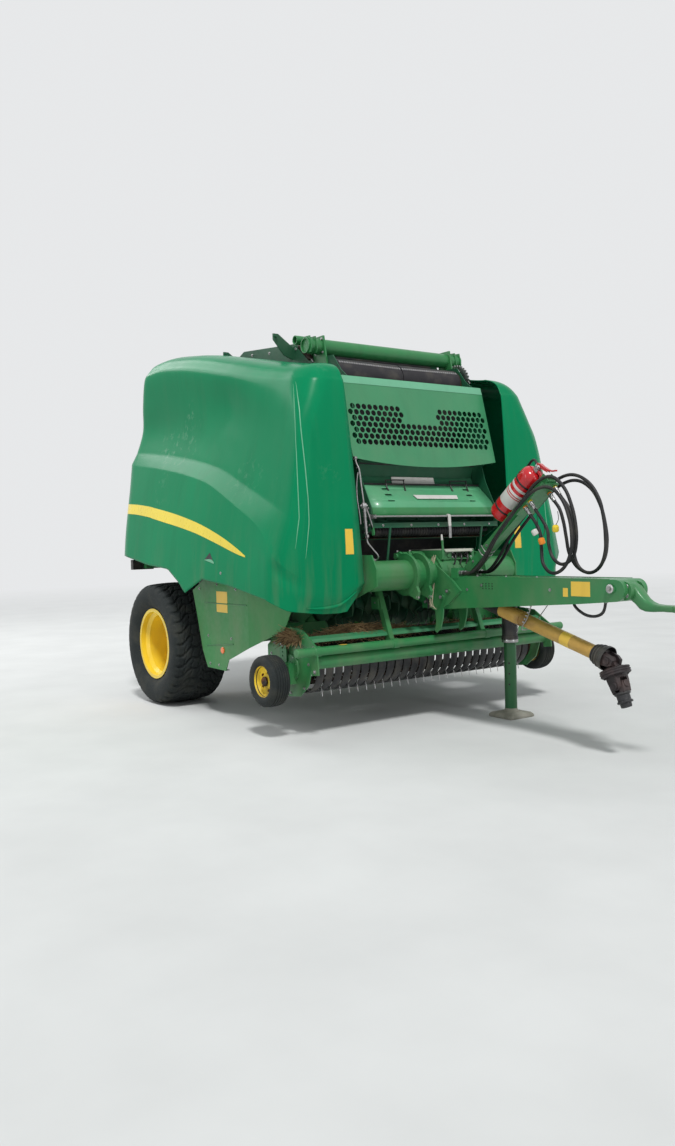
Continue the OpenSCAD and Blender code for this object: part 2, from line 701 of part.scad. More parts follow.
// Hose routes, from their blocks on the drawbar over the rack to their couplers
hose_routes = [
    [[2561, 62, 1116], [2680, 62, 1124], [2790, 62, 1218], [2900, 62, 1360], [3030, 62, 1488],
        [3170, 64, 1612], [3310, 66, 1716], [3450, 68, 1752], [3580, 70, 1700], [3664, 72, 1592],
        [3700, 72, 1466], [3712, 72, 1350], [3708, 70, 1248], [3668, 66, 1160], [3588, 62, 1124],
        [3508, 60, 1160], [3472, 58, 1250], [3474, 58, 1376], [3452, 58, 1512]],
    [[2561, 94, 1116], [2680, 94, 1122], [2792, 94, 1208], [2905, 94, 1344], [3035, 94, 1470],
        [3175, 96, 1588], [3315, 98, 1684], [3455, 100, 1716], [3576, 102, 1660], [3650, 104, 1550],
        [3684, 106, 1430], [3696, 106, 1316], [3670, 104, 1204], [3586, 100, 1126], [3482, 92, 1148],
        [3420, 76, 1240], [3408, 60, 1350], [3390, 58, 1446], [3358, 58, 1536]],
    [[2561, -64, 1116], [2680, -64, 1124], [2790, -64, 1218], [2900, -64, 1360], [3030, -66, 1488],
        [3160, -68, 1608], [3290, -70, 1715], [3410, -72, 1740], [3514, -74, 1664], [3574, -74, 1546],
        [3602, -74, 1432], [3606, -74, 1326], [3576, -72, 1232], [3492, -68, 1182], [3408, -62, 1216],
        [3366, -58, 1304], [3358, -58, 1394], [3320, -58, 1458]],
    [[2561, -96, 1116], [2680, -96, 1122], [2792, -96, 1208], [2905, -96, 1344], [3035, -98, 1470],
        [3170, -100, 1582], [3305, -102, 1664], [3430, -104, 1666], [3524, -106, 1590], [3576, -106, 1480],
        [3596, -106, 1370], [3588, -106, 1262], [3526, -104, 1160], [3424, -96, 1126], [3336, -80, 1182],
        [3306, -62, 1280], [3296, -58, 1370], [3266, -58, 1436]]
];
// Places of the couplers along the rack and across it
coupler_at = [[985, 58], [925, 58], [845, -58], [790, -58]];
coupler_len = 70;
coupler_r = 16;
function rack_point(u, y, w) = [rack_a.x + u * cos(rack_slope) - w * sin(rack_slope), y,
    rack_a.y + u * sin(rack_slope) + w * cos(rack_slope)];
function hose_route(i) = concat(hose_routes[i],
    [rack_point(coupler_at[i].x, coupler_at[i].y, -rack_under - coupler_len - 0.5)]);
// A tube along the points, one polyhedron with a ring of eight corners at each
module hose(points, d) {
    n = 8;
    last = len(points) - 1;
    ring = [for (i = [0:last])
        let (a = points[max(i - 1, 0)], b = points[min(i + 1, last)], t = (b - a) / norm(b - a),
            u = cross(t, [0, 1, 0]) / norm(cross(t, [0, 1, 0])), v = cross(t, u))
        for (k = [0:n - 1]) points[i] + d / 2 * (u * cos(k * 360 / n) + v * sin(k * 360 / n))];
    sides = [for (i = [0:last - 1]) for (k = [0:n - 1])
        [i * n + k, i * n + (k + 1) % n, (i + 1) * n + (k + 1) % n, (i + 1) * n + k]];
    polyhedron(ring, concat([[for (k = [n - 1:-1:0]) k]], sides, [[for (k = [0:n - 1]) last * n + k]]),
        convexity = 8);
}
module hose_node(i) {
    color(black) from_axle() hose(hose_route(i), hose_d);
}
module hose_1() { hose_node(0); }
module hose_2() { hose_node(1); }
module hose_3() { hose_node(2); }
module hose_4() { hose_node(3); }

// Couplers at the ends of the hoses
module hose_couplers() {
    color(grey) from_axle() on_rack() for (p = coupler_at)
        translate([p.x, p.y, -rack_under - coupler_len]) cylinder(r = coupler_r, h = coupler_len);
}

// Jack: fixed sleeve on the left of the drawbar and sliding leg with its foot
jack_x = 2470;
jack_y = 480;
sleeve_z = 590;
sleeve_h = 360;
leg_h = 640;
sleeve_t = 12;
module jack_sleeve() {
    color(black) from_axle() difference() {
        union() {
            translate([jack_x, jack_y, sleeve_z]) cylinder(r = jack_r + sleeve_t, h = sleeve_h);
            translate([jack_x, jack_y, sleeve_z]) cylinder(r = jack_r + sleeve_t + 6, h = 22);
            translate([jack_x - 40, bar_w / 2 + bar_t, 900]) cube([80, jack_y - bar_w / 2 - bar_t, 50]);
            translate([jack_x - 6, bar_w / 2 + bar_t, 880]) cube([12, jack_y - bar_w / 2 - bar_t, 60]);
        }
        translate([jack_x, jack_y, sleeve_z - 1]) cylinder(r = jack_r + run_gap, h = sleeve_h - 4);
    }
}
module jack_leg() {
    color(green) from_axle() {
        difference() {
            translate([jack_x, jack_y, 12]) cylinder(r = jack_r, h = leg_h - 12);
            translate([jack_x, jack_y, 30]) cylinder(r = jack_r - 8, h = leg_h);
        }
        translate([jack_x - foot_w / 2, jack_y - foot_w / 2, 0]) cube([foot_w, foot_w, 12]);
        // Gussets on the foot
        for (a = [0:90:270]) translate([jack_x, jack_y, 0]) rotate(a + 45) translate([jack_r - 4, 4, 12])
            rotate([90, 0, 0]) linear_extrude(8) polygon([[0, 0], [70, 0], [0, 60]]);
    }
}

// Drive shaft, parked under the drawbar. Lengths run along it from the joint at the gearbox
shaft_x = 2500;
shaft_z = 975;
shaft_len = 1355;
yoke_slope = 68;
yoke_px = shaft_x + shaft_len * cos(shaft_slope);
yoke_pz = shaft_z - shaft_len * sin(shaft_slope);
module on_shaft() {
    translate([shaft_x, 0, shaft_z]) rotate([0, 90 + shaft_slope, 0]) children();
}
module pto_rear() {
    color(black) from_axle() {
        on_shaft() {
            // Bell over the joint, ribbed
            for (z = [46, 62, 78]) translate([0, 0, z]) cylinder(r = 70 - (z - 46) / 5, h = 8);
            difference() {
                translate([0, 0, 46]) cylinder(r = guard_rear_r, h = 549);
                translate([0, 0, 70]) cylinder(r = guard_front_r + 1, h = 560);
            }
        }
        joint_eye(shaft_x, shaft_z, shaft_slope, 52);
    }
}
module pto_front() {
    color(tan_yellow) from_axle() {
        on_shaft() {
            translate([0, 0, 300]) cylinder(r = guard_front_r, h = shaft_len - 300 - 55);
            // Ribbed collar at the front end
            for (z = [150, 130, 110]) translate([0, 0, shaft_len - z]) cylinder(r = 82 - (z - 110) / 4, h = 9);
            translate([0, 0, shaft_len - 150]) cylinder(r = 62, h = 60);
        }
        joint_fork(yoke_px, yoke_pz, shaft_slope);
    }
}
// Wide-angle joint with its centring disc, lower yoke and splined sleeve
module pto_yoke() {
    color(black) from_axle() {
        joint_eye(yoke_px, yoke_pz, yoke_slope, 80);
        translate([yoke_px, 0, yoke_pz]) rotate([0, 90 + yoke_slope, 0]) {
            translate([0, 0, 72]) cylinder(r = 82, h = 16);
            translate([0, 0, 60]) cylinder(r = 52, h = 46);
            for (y = [-46, 30]) {
                translate([-24, y, 90]) cube([48, 16, 70]);
                translate([0, y + 16, 160]) rotate([90, 0, 0]) cylinder(r = 30, h = 16);
            }
            translate([0, 40, 160]) rotate([90, 0, 0]) cylinder(r = 14, h = 80);
            translate([-16, -28, 150]) cube([32, 56, 60]);
            difference() {
                translate([0, 0, 196]) cylinder(r = 44, h = 100);
                translate([0, 0, 230]) cylinder(r = 20, h = 80);
            }
            translate([0, 0, 262]) cylinder(r = 52, h = 14);
        }
    }
}

// Pickup: side plates, rear tube, arms to the pivot and gauge wheel brackets
reel_x = 1930;
reel_z = 480;
pickup_tube_x = 1640;
pickup_tube_z = 580;
gauge_x = 1930;
gauge_z = 406;
gauge_y = 1320;
pickup_side = [
    [1700, 420], [1600, 530], [1600, 620], [1740, 720], [1880, 770], [2020, 765], [2150, 660], [2185, 520],
    [2130, 370], [2020, 285], [1880, 270], [1760, 320]
];
module pickup_frame() {
    color(green) from_axle() {
        cross_bar(pickup_tube_x, pickup_tube_z, 36, -pickup_y + 10, pickup_y - 10);
        // Back sheets beside the feed opening
        both_sides() side_plate([[1650, 600], [1644, 760], [1650, 762], [1685, 672], [1683, 596]], wall_out + 28,
            pickup_y - wall_out - 38);
        // Bar to which the bands are screwed
        translate([reel_x - 250, -pickup_y + 10, reel_z + band_r - 16]) cube([48, 2 * pickup_y - 20, 10]);
        both_sides() {
            difference() {
                side_plate(pickup_side, pickup_y - 10, 10);
                cross_bar(reel_x, reel_z, 30 + run_gap, pickup_y - 20, pickup_y);
            }
            difference() {
                side_plate([[1250, 800], [1260, 870], [1340, 880], [1690, 620], [1690, 545], [1600, 545]],
                    wall_out + 12, 12);
                cross_bar(pivot_x, pivot_z, wall_pin_r + run_gap, wall_out, wall_out + 50);
            }
            side_plate([[1880, 520], [1980, 520], [1980, 370], [1880, 370]], pickup_y, 60);
            // Quadrant on which the gauge wheel is set
            difference() {
                side_plate([[1900, 430], [1900, 600], [1880, 690], [1820, 690], [1810, 560], [1860, 430]],
                    pickup_y + 20, 8);
                for (a = [0:4]) cross_bar(1850, 560 + a * 28, 7, pickup_y + 10, pickup_y + 40);
            }
            cross_bar(1850, 640, 12, pickup_y, pickup_y + 20);
            cross_bar(gauge_x, gauge_z, 16, pickup_y + 60, gauge_y + 40);
            cross_bar(guard_px, guard_pz, 14, pickup_y, pickup_y + 22);
        }
    }
}
module pickup_bands() {
    n = floor((pickup_y - 60) / band_pitch);
    color(black) from_axle() for (k = [-n:n]) translate([reel_x, k * band_pitch + 20, reel_z])
        rotate([90, 0, 0]) linear_extrude(40) difference() {
            union() {
                circle(r = band_r);
                translate([-240, 40]) square([200, band_r - 40]);
            }
            circle(r = band_r - 6);
            translate([-240, 0]) square([240, band_r - 6]);
            translate([-300, -300]) square([240, 400]);
        }
}
module tine_reel() {
    n = floor((pickup_y - 60) / band_pitch);
    color(grey) from_axle() translate([reel_x, 0, reel_z]) rotate([90, 0, 0]) {
        translate([0, 0, -pickup_y + 0.5]) cylinder(r = 30, h = 2 * pickup_y - 1);
        for (z = [-pickup_y + 14, -6, pickup_y - 26]) translate([0, 0, z]) cylinder(r = 150, h = 12);
        for (b = [0:bar_n - 1]) rotate(b * 360 / bar_n + 54) translate([132, 0, -pickup_y + 14])
            cylinder(r = 15, h = 2 * pickup_y - 28);
        for (b = [0:bar_n - 1]) rotate(b * 360 / bar_n + 54) for (k = [-n:n - 1])
            translate([132, 0, (k + 0.5) * band_pitch]) rotate([0, 90, 0])
                cylinder(r = 3, h = tine_tip_r - 132, $fn = 12);
    }
}

// Wind guard: bumper tube, rolled apron below it, end arms and two struts
guard_x = 2245;
guard_z = 618;
guard_px = 1900;
guard_pz = 740;
apron_x = 2185;
apron_z = 540;
apron_r = 53;
strut = [[2040, 998], [2076, 1008], [2212, 652], [2240, 640], [2240, 592], [2204, 586], [2172, 604]];
module wind_guard() {
    color(green) from_axle() {
        cross_bar(guard_x, guard_z, 31, -guard_y, guard_y);
        // Rolled apron under the bumper, open at the back
        difference() {
            cross_bar(apron_x, apron_z, apron_r, -pickup_y - 10, pickup_y + 10);
            cross_bar(apron_x, apron_z, apron_r - 5, -pickup_y - 11, pickup_y + 11);
            translate([apron_x - 130, -pickup_y - 11, apron_z - 80]) cube([150, 2 * pickup_y + 22, 160]);
        }
        both_sides() difference() {
            side_plate([[guard_px - 40, guard_pz - 30], [guard_px - 40, guard_pz + 36],
                [2100, 755], [guard_x + 25, 650], [guard_x + 30, 580], [2285, 460], [2205, 450],
                [2160, 640]], pickup_y + 6, 10);
            cross_bar(guard_px, guard_pz, 14 + run_gap, pickup_y, pickup_y + 30);
        }
        // Struts that guide the guard beside the cross tube
        for (y = [-470, 430]) side_plate(strut, y, 40);
        both_sides() difference() {
            side_plate([[2010, 856], [2010, 946], [2110, 946], [2130, 870], [2124, 856]], 470, 8);
            cross_bar(2040, 905, 12, 460, 480);
        }
    }
}

// Gauge wheel, its tyre and rim in one
module gauge_wheel(side) {
    color(black) from_axle() translate([gauge_x, side * gauge_y, gauge_z]) rotate([90, 0, 0])
        difference() {
            rotate_extrude($fn = 64) polygon([[0, -35], [60, -35], [60, -50], [90, -60], [110, -72],
                [150, -gauge_w / 2], [gauge_d / 2 - 8, -60], [gauge_d / 2, -35], [gauge_d / 2, 35],
                [gauge_d / 2 - 8, 60], [150, gauge_w / 2], [110, 72], [90, 60], [60, 50], [60, 35], [0, 35]]);
            cylinder(r = 16 + run_gap, h = 200, center = true);
        }
}
module gauge_wheel_left() { gauge_wheel(1); }
module gauge_wheel_right() { gauge_wheel(-1); }

// Side shield. Height lines run along the unrolled flank: rear face, side, front face
top_line = [[-950, 3030], [-300, 3055], [180, 3005], [1000, 2838], [1670, 2672], [1950, 2604], [2600, 2580]];
upper_line = [[-1300, 2290], [-650, 2210], [280, 2080], [990, 1940], [1530, 1756], [2180, 1530], [2700, 1300]];
lower_line = [[-1300, 2170], [-540, 2100], [830, 1883], [1530, 1630], [1900, 1460], [2130, 1270],
    [2400, 1130], [2700, 1080]];
bottom_line = [[-1400, 1300], [-500, 1280], [60, 1200], [450, 1170], [670, 1060], [760, 985], [1070, 1100],
    [1500, 1060], [2000, 980], [2250, 900], [2550, 870], [2700, 1000]];
// Crown rows: depth below the top line, side Y, front X, rear X
crown = [[0, 800, 1930, -560], [14, 920, 2010, -650], [50, 1015, 2070, -710], [110, 1070, 2105, -755],
    [180, 1100, 2130, -800]];
flank_front = [[800, 2190], [1050, 2240], [1410, 2245], [1930, 2190], [2420, 2130]];
flank_rear = [[1300, -rear_reach + 150], [1700, -rear_reach + 95], [2215, -rear_reach], [2640, -rear_reach + 55],
    [2820, -rear_reach + 100]];
side_x = [-590, -300, 60, 450, 670, 760, 1070, 1400, 1750, 2040];
upper_rows = [0.33, 0.67, 1];
lower_rows = [0, 0.25, 0.5, 0.75, 1];
row_n = len(crown) + len(upper_rows) + len(lower_rows);
arc_n = 5;
col_n = 2 + arc_n + len(side_x) - 2 + arc_n + 2;
function shield_flank_y(z) = shield_y - 285 * pow(max(0, min(1, (z - 1050) / 1360)), 1.6);
function inner_y(z) = 775 - 70 * max(0, min(1, (2550 - z) / 1500));
// Height of a row where the unrolled distance is g
function row_z(r, g) =
    let (c = len(crown), u = len(upper_rows), top = lookup(g, top_line), up = lookup(g, upper_line),
        low = lookup(g, lower_line), bot = lookup(g, bottom_line), shoulder = top - crown[c - 1][0])
    r < c ? top - crown[r][0]
    : r < c + u ? shoulder + (up - shoulder) * upper_rows[r - c]
    : low + (bot - low) * lower_rows[r - c - u];
function row_side(r, z) = r < len(crown) ? crown[r][1]
    : shield_flank_y(z) - (r < len(crown) + len(upper_rows) ? shield_step * min(1, (r - len(crown) + 1) / 2) : 0);
function row_front(r, z) = r < len(crown) ? crown[r][2] : lookup(z, flank_front);
function row_rear(r, z) = r < len(crown) ? crown[r][3] : lookup(z, flank_rear);
// Outer surface: column c from the rear inner edge round the flank to the front inner edge
function shield_point(c, r) =
    let (zr = row_z(r, -700), zf = row_z(r, 2300), zm = row_z(r, 700), xr = row_rear(r, zr),
        xf = row_front(r, zf), ys = row_side(r, zm), ysr = row_side(r, zr), ysf = row_side(r, zf),
        yi = inner_y(zf), yir = 790, rr = min(shield_rear_r, (ysr - yir) * 0.85),
        rf = min(shield_front_r, (ysf - yi) * 0.8), n = len(side_x) - 2, c1 = c - 2, c2 = c1 - arc_n,
        c3 = c2 - n, c4 = c3 - arc_n)
    c < 2 ? let (y = yir + (ysr - rr - yir) * c / 2) [xr, y, row_z(r, xr - (ysr - y))]
    : c1 < arc_n ? let (a = 90 * c1 / (arc_n - 1), x = xr + rr - rr * cos(a), y = ysr - rr + rr * sin(a))
        [x, y, row_z(r, x - (ysr - y))]
    : c2 < n ? let (t = (side_x[c2 + 1] - side_x[0]) / (side_x[n + 1] - side_x[0]),
        x = xr + rr + (xf - rf - xr - rr) * t, z = row_z(r, x)) [x, row_side(r, z), z]
    : c3 < arc_n ? let (a = 90 * c3 / (arc_n - 1), x = xf - rf + rf * sin(a), y = ysf - rf + rf * cos(a))
        [x, y, row_z(r, x + (ysf - y))]
    : let (y = ysf - rf + (yi - ysf + rf) * (c4 + 1) / 2) [xf, y, row_z(r, xf + (ysf - y))];
function unit(v) = v / norm(v);
function shield_normal(c, r) =
    unit(cross(shield_point(min(c + 1, col_n - 1), r) - shield_point(max(c - 1, 0), r),
        shield_point(c, min(r + 1, row_n - 1)) - shield_point(c, max(r - 1, 0))));
// Two triangles of a four-cornered face
function halves(a, b, c, d) = [[a, b, c], [a, c, d]];
module shield_shell() {
    outer = [for (c = [0:col_n - 1]) for (r = [0:row_n - 1]) shield_point(c, r)];
    inner = [for (c = [0:col_n - 1]) for (r = [0:row_n - 1]) shield_point(c, r) - shield_t * shield_normal(c, r)];
    m = col_n * row_n;
    e = col_n - 1;
    b = row_n - 1;
    function id(c, r) = c * row_n + r;
    faces = [
        for (c = [0:e - 1]) for (r = [0:b - 1]) for (f = halves(id(c, r), id(c, r + 1), id(c + 1, r + 1), id(c + 1, r)))
            each [f, [f[2] + m, f[1] + m, f[0] + m]],
        for (c = [0:e - 1]) each halves(id(c, 0), id(c + 1, 0), id(c + 1, 0) + m, id(c, 0) + m),
        for (c = [0:e - 1]) each halves(id(c, b), id(c, b) + m, id(c + 1, b) + m, id(c + 1, b)),
        for (r = [0:b - 1]) each halves(id(0, r), id(0, r) + m, id(0, r + 1) + m, id(0, r + 1)),
        for (r = [0:b - 1]) each halves(id(e, r), id(e, r + 1), id(e, r + 1) + m, id(e, r) + m)
    ];
    polyhedron(concat(outer, inner), faces, convexity = 6);
}
// Lugs by which the shield hangs on its pins
module shield_lugs() {
    for (x = hinge_x) {
        top = lookup(x, top_line);
        difference() {
            translate([x + 17, 0, 0]) rotate([90, 0, 90]) linear_extrude(12) polygon([[shield_pin_y - 14, 2984],
                [shield_pin_y + 14, 2984], [shield_pin_y + 45, top - 6], [shield_pin_y + 115, top - 22],
                [shield_pin_y + 60, top - 30], [shield_pin_y + 22, top - 24], [shield_pin_y - 14, 2950]]);
            cross_bar_x_at(x, shield_pin_y, shield_pin_z, shield_pin_r + run_gap, 60);
        }
    }
}
module shield_left() {
    color(green) from_axle() {
        shield_shell();
        shield_lugs();
    }
}
module shield_right() { mirror([0, 1, 0]) shield_left(); }

// Discharge gate: two arms outside the walls that carry three belt rollers
gate_rollers = [[-430, 2480, 80], [-772, 1750, 80], [-690, 1020, 90]];
gate_arm = [
    [340, 2660], [340, 2760], [460, 2770], [480, 2660], [300, 2610], [-300, 2420], [-560, 2180], [-690, 1750],
    [-620, 1200], [-600, 960], [-690, 900], [-780, 960], [-810, 1150], [-925, 1280], [-925, 1420],
    [-862, 1700], [-862, 1900], [-790, 2200], [-500, 2560], [-400, 2590]
];
// Side sheets in the plane of the chamber walls, clear of their rear edge
gate_sheet = [
    [-520, 800], [-572, 1000], [-622, 1402], [-612, 1900], [-432, 2308], [-266, 2530], [-330, 2590],
    [-500, 2556], [-786, 2200], [-858, 1900], [-858, 1700], [-921, 1420], [-921, 1280], [-806, 1150],
    [-776, 960], [-690, 840], [-600, 800]
];
module gate_frame() {
    color(green) from_axle() {
        both_sides() difference() {
            side_plate(gate_arm, wall_out + 12, 16);
            cross_bar(gate_x, gate_z, wall_pin_r + run_gap, wall_out, wall_out + 60);
            // Lightening holes
            for (p = [[-740, 1960, 50], [-700, 1330, 45], [-520, 2400, 40]])
                cross_bar(p[0], p[1], p[2], wall_out, wall_out + 60);
        }
        both_sides() side_plate(gate_sheet, wall_in, wall_t);
        for (p = gate_rollers) {
            cross_bar(p[0], p[1], p[2], -wall_in + 6, wall_in - 6);
            cross_bar(p[0], p[1], 25, -wall_out - 12, wall_out + 12);
        }
        // Cross members behind the belts
        cross_bar(-738, 2196, 42, -wall_out - 12, wall_out + 12);
        difference() {
            translate([-918, -wall_out - 12, 1290]) cube([70, 2 * wall_out + 24, 110]);
            translate([-912, -wall_in + 2, 1296]) cube([58, 2 * wall_in - 4, 98]);
        }
        // Bosses against which the eyes of the cylinder rods lie
        both_sides() cross_bar(cyl_b.x, cyl_b.y, 40, wall_out + 28, cyl_y - eye_half - rod_seat);
    }
}
module gate_belts() {
    color(black) from_axle() belts(gate_rollers);
}

// Gate cylinders
cyl_a = [700, 1300];
cyl_b = [-350, 2450];
cyl_len = norm(cyl_b - cyl_a);
cyl_angle = atan2(cyl_b.y - cyl_a.y, cyl_b.x - cyl_a.x);
cyl_y = wall_out + 52;
eye_half = 18;
rod_seat = 0.4;
module on_cylinder(side) {
    translate([cyl_a.x, side * cyl_y, cyl_a.y]) rotate([0, 90 - cyl_angle, 0]) children();
}
module gate_barrel(side) {
    color(dark_green) from_axle() on_cylinder(side) {
        difference() {
            translate([0, 0, 40]) cylinder(r = 32, h = 1000);
            translate([0, 0, 60]) cylinder(r = 16 + run_gap, h = 1000);
        }
        difference() {
            union() {
                rotate([90, 0, 0]) cylinder(r = 36, h = 36, center = true);
                cylinder(r = 24, h = 60);
            }
            rotate([90, 0, 0]) cylinder(r = 20 + run_gap, h = 60, center = true);
        }
    }
}
// The rod's eye with its pin, which isn't in the gate's boss
module gate_rod(side) {
    color(grey) from_axle() on_cylinder(side) {
        translate([0, 0, 480]) cylinder(r = 16, h = cyl_len - 480 - 25);
        translate([0, 0, cyl_len]) rotate([90, 0, 0]) {
            cylinder(r = 34, h = 2 * eye_half, center = true);
            translate([0, 0, side > 0 ? -eye_half - 7 : eye_half]) cylinder(r = 24, h = 7);
        }
    }
}
module gate_barrel_left() { gate_barrel(1); }
module gate_barrel_right() { gate_barrel(-1); }
module gate_rod_left() { gate_rod(1); }
module gate_rod_right() { gate_rod(-1); }

module tyre_left() { from_axle() translate([0, half_track, tyre_r]) tyre(); }
module tyre_right() { from_axle() translate([0, -half_track, tyre_r]) tyre(); }
module rim_left() { from_axle() translate([0, half_track, tyre_r]) wheel(); }
module rim_right() { from_axle() translate([0, -half_track, tyre_r]) mirror([0, 1, 0]) wheel(); }

// Rear lamps on their carriers
module rear_lamps() {
    color(black) from_axle() both_sides() translate([-560, 1080, 1150]) cube([60, 200, 90]);
}

axle();
frame();
chamber_walls();
side_skirts();
grille();
top_tube();
chamber_rollers();
chamber_belts();
feed_rotor();
net_box();
net_cover();
net_roller();
net_linkage();
gearbox();
drawbar();
hitch_tongue();
hose_rack();
extinguisher();
hose_1();
hose_2();
hose_3();
hose_4();
hose_couplers();
jack_sleeve();
jack_leg();
pto_rear();
pto_front();
pto_yoke();
pickup_frame();
pickup_bands();
tine_reel();
wind_guard();
gauge_wheel_left();
gauge_wheel_right();
shield_left();
shield_right();
gate_frame();
gate_belts();
gate_barrel_left();
gate_barrel_right();
gate_rod_left();
gate_rod_right();
tyre_left();
tyre_right();
rim_left();
rim_right();
rear_lamps();
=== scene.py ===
"""Looks of a trailed round baler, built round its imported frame.

Laid out as an add-on with one operator for each group of pieces, and run as a script.
"""

import json
import math

import bmesh
import bpy
from bpy.props import FloatProperty, FloatVectorProperty, PointerProperty
from mathutils import Matrix, Vector


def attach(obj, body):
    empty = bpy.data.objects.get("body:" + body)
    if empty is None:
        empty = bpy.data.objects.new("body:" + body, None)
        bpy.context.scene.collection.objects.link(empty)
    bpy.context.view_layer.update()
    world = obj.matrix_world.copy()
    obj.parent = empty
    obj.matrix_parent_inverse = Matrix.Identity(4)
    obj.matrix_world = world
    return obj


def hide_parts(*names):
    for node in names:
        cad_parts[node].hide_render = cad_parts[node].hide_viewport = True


bl_info = {
    "name": "Round baler",
    "version": (1, 0, 0),
    "blender": (4, 5, 0),
    "location": "View3D > Sidebar > Baler",
    "description": "Dresses the frame of a trailed round baler",
    "category": "Object",
}

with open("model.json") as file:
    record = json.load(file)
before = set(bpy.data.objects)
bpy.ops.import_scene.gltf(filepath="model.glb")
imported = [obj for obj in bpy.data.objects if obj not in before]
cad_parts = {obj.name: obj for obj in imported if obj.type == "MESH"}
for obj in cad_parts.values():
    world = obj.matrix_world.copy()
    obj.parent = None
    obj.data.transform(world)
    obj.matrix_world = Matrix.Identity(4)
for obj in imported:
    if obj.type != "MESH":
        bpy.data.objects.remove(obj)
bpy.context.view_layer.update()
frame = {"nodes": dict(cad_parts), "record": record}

# The axle stands this far behind the part's origin, in millimetres
AXLE_BACK = 1700.0


def at(x, y, z):
    """A point in metres from millimetres ahead of the axle, to the left and above the ground."""
    return Vector(((x - AXLE_BACK) / 1000, y / 1000, z / 1000))


# ---------------------------------------------------------------- sizes and colours


def colour(name, description, rgb):
    """A colour that a user can change, written as its linear red, green and blue."""
    return FloatVectorProperty(
        name=name, description=description, default=rgb, size=3, min=0, max=1, subtype="COLOR"
    )


def amount(name, description, value, unit="NONE"):
    """A number that a user can change."""
    return FloatProperty(name=name, description=description, default=value, min=0, unit=unit)


class BALER_PG_stage(bpy.types.PropertyGroup):
    """The floor, the light and the camera."""

    floor: colour("Floor", "Colour of the floor", (0.62, 0.63, 0.62))
    sky: colour("Backdrop", "Colour behind the baler", (0.80, 0.81, 0.82))
    sky_light: amount("Sky light", "Strength of the soft light", 0.48)
    panel_light: amount("Panel light", "Power of the soft panels in watts", 90.0)
    sun_light: amount("Sun light", "Strength of the sun", 2.1)
    lens: amount("Lens", "Focal length of the camera in millimetres", 29.38)


class BALER_PG_colours(bpy.types.PropertyGroup):
    """Paints, rubbers and metals."""

    moulding: colour("Moulding", "Green of the moulded shields", (0.003, 0.208, 0.084))
    paint: colour("Frame paint", "Green of the painted steel", (0.024, 0.190, 0.058))
    light_paint: colour("Light paint", "Green of the grille and the angle bar", (0.040, 0.230, 0.100))
    cover_paint: colour("Cover paint", "Green of the net cover", (0.078, 0.325, 0.158))
    dark_paint: colour("Dark paint", "Green of the jack", (0.008, 0.090, 0.026))
    faded_paint: colour("Faded paint", "Green of the lower side panels", (0.028, 0.215, 0.052))
    old_paint: colour("Dull paint", "Green of the chamber and the net box", (0.006, 0.085, 0.038))
    wheel_yellow: colour("Wheel yellow", "Yellow of the rims", (0.90, 0.62, 0.035))
    rubber: colour("Tyre rubber", "Rubber of the tyres", (0.012, 0.016, 0.016))
    hose_rubber: colour("Hose rubber", "Rubber of the hoses", (0.012, 0.012, 0.013))
    belt_rubber: colour("Belt rubber", "Rubber of the bale belts", (0.018, 0.017, 0.020))
    steel: colour("Plated steel", "Rods, rollers and clips", (0.42, 0.42, 0.42))
    dark_steel: colour("Dark steel", "Tines and the drive shaft's joints", (0.075, 0.062, 0.055))
    guard_tan: colour("Shaft guard", "Faded yellow of the drive shaft's guard", (0.50, 0.30, 0.07))
    bottle_red: colour("Extinguisher", "Red of the extinguisher", (0.52, 0.006, 0.012))
    plastic: colour("Black plastic", "Black plastic parts", (0.014, 0.014, 0.015))
    stripe: colour("Stripe", "Yellow of the stripe on the shields", (0.80, 0.62, 0.02))
    dust: colour("Dust", "Dried dust", (0.23, 0.20, 0.13))
    label: colour("Label", "Blank pale plates and bands", (0.62, 0.61, 0.58))
    decal: colour("Decal", "Blank yellow plates", (0.80, 0.52, 0.06))
    straw: colour("Straw", "Straw left on the pickup", (0.30, 0.20, 0.10))
    reflector: colour("Reflector", "Orange side reflectors", (0.85, 0.16, 0.01))
    lens: colour("Lens", "Red of the rear lamps", (0.45, 0.005, 0.008))


class BALER_PG_sizes(bpy.types.PropertyGroup):
    """Sizes of the pieces made here."""

    hose: amount("Hose", "Outside diameter of a hydraulic hose", 0.022, "LENGTH")


PROPERTY_GROUPS = (BALER_PG_stage, BALER_PG_colours, BALER_PG_sizes)

# ---------------------------------------------------------------- finishes


def add_node(tree, kind, inputs=(), **settings):
    """A node with its settings; each input named is given a value or the socket that feeds it."""
    made = tree.nodes.new("ShaderNode" + kind)
    for key, value in settings.items():
        setattr(made, key, value)
    for key, value in dict(inputs).items():
        if isinstance(value, bpy.types.NodeSocket):
            tree.links.new(value, made.inputs[key])
        else:
            made.inputs[key].default_value = value
    return made


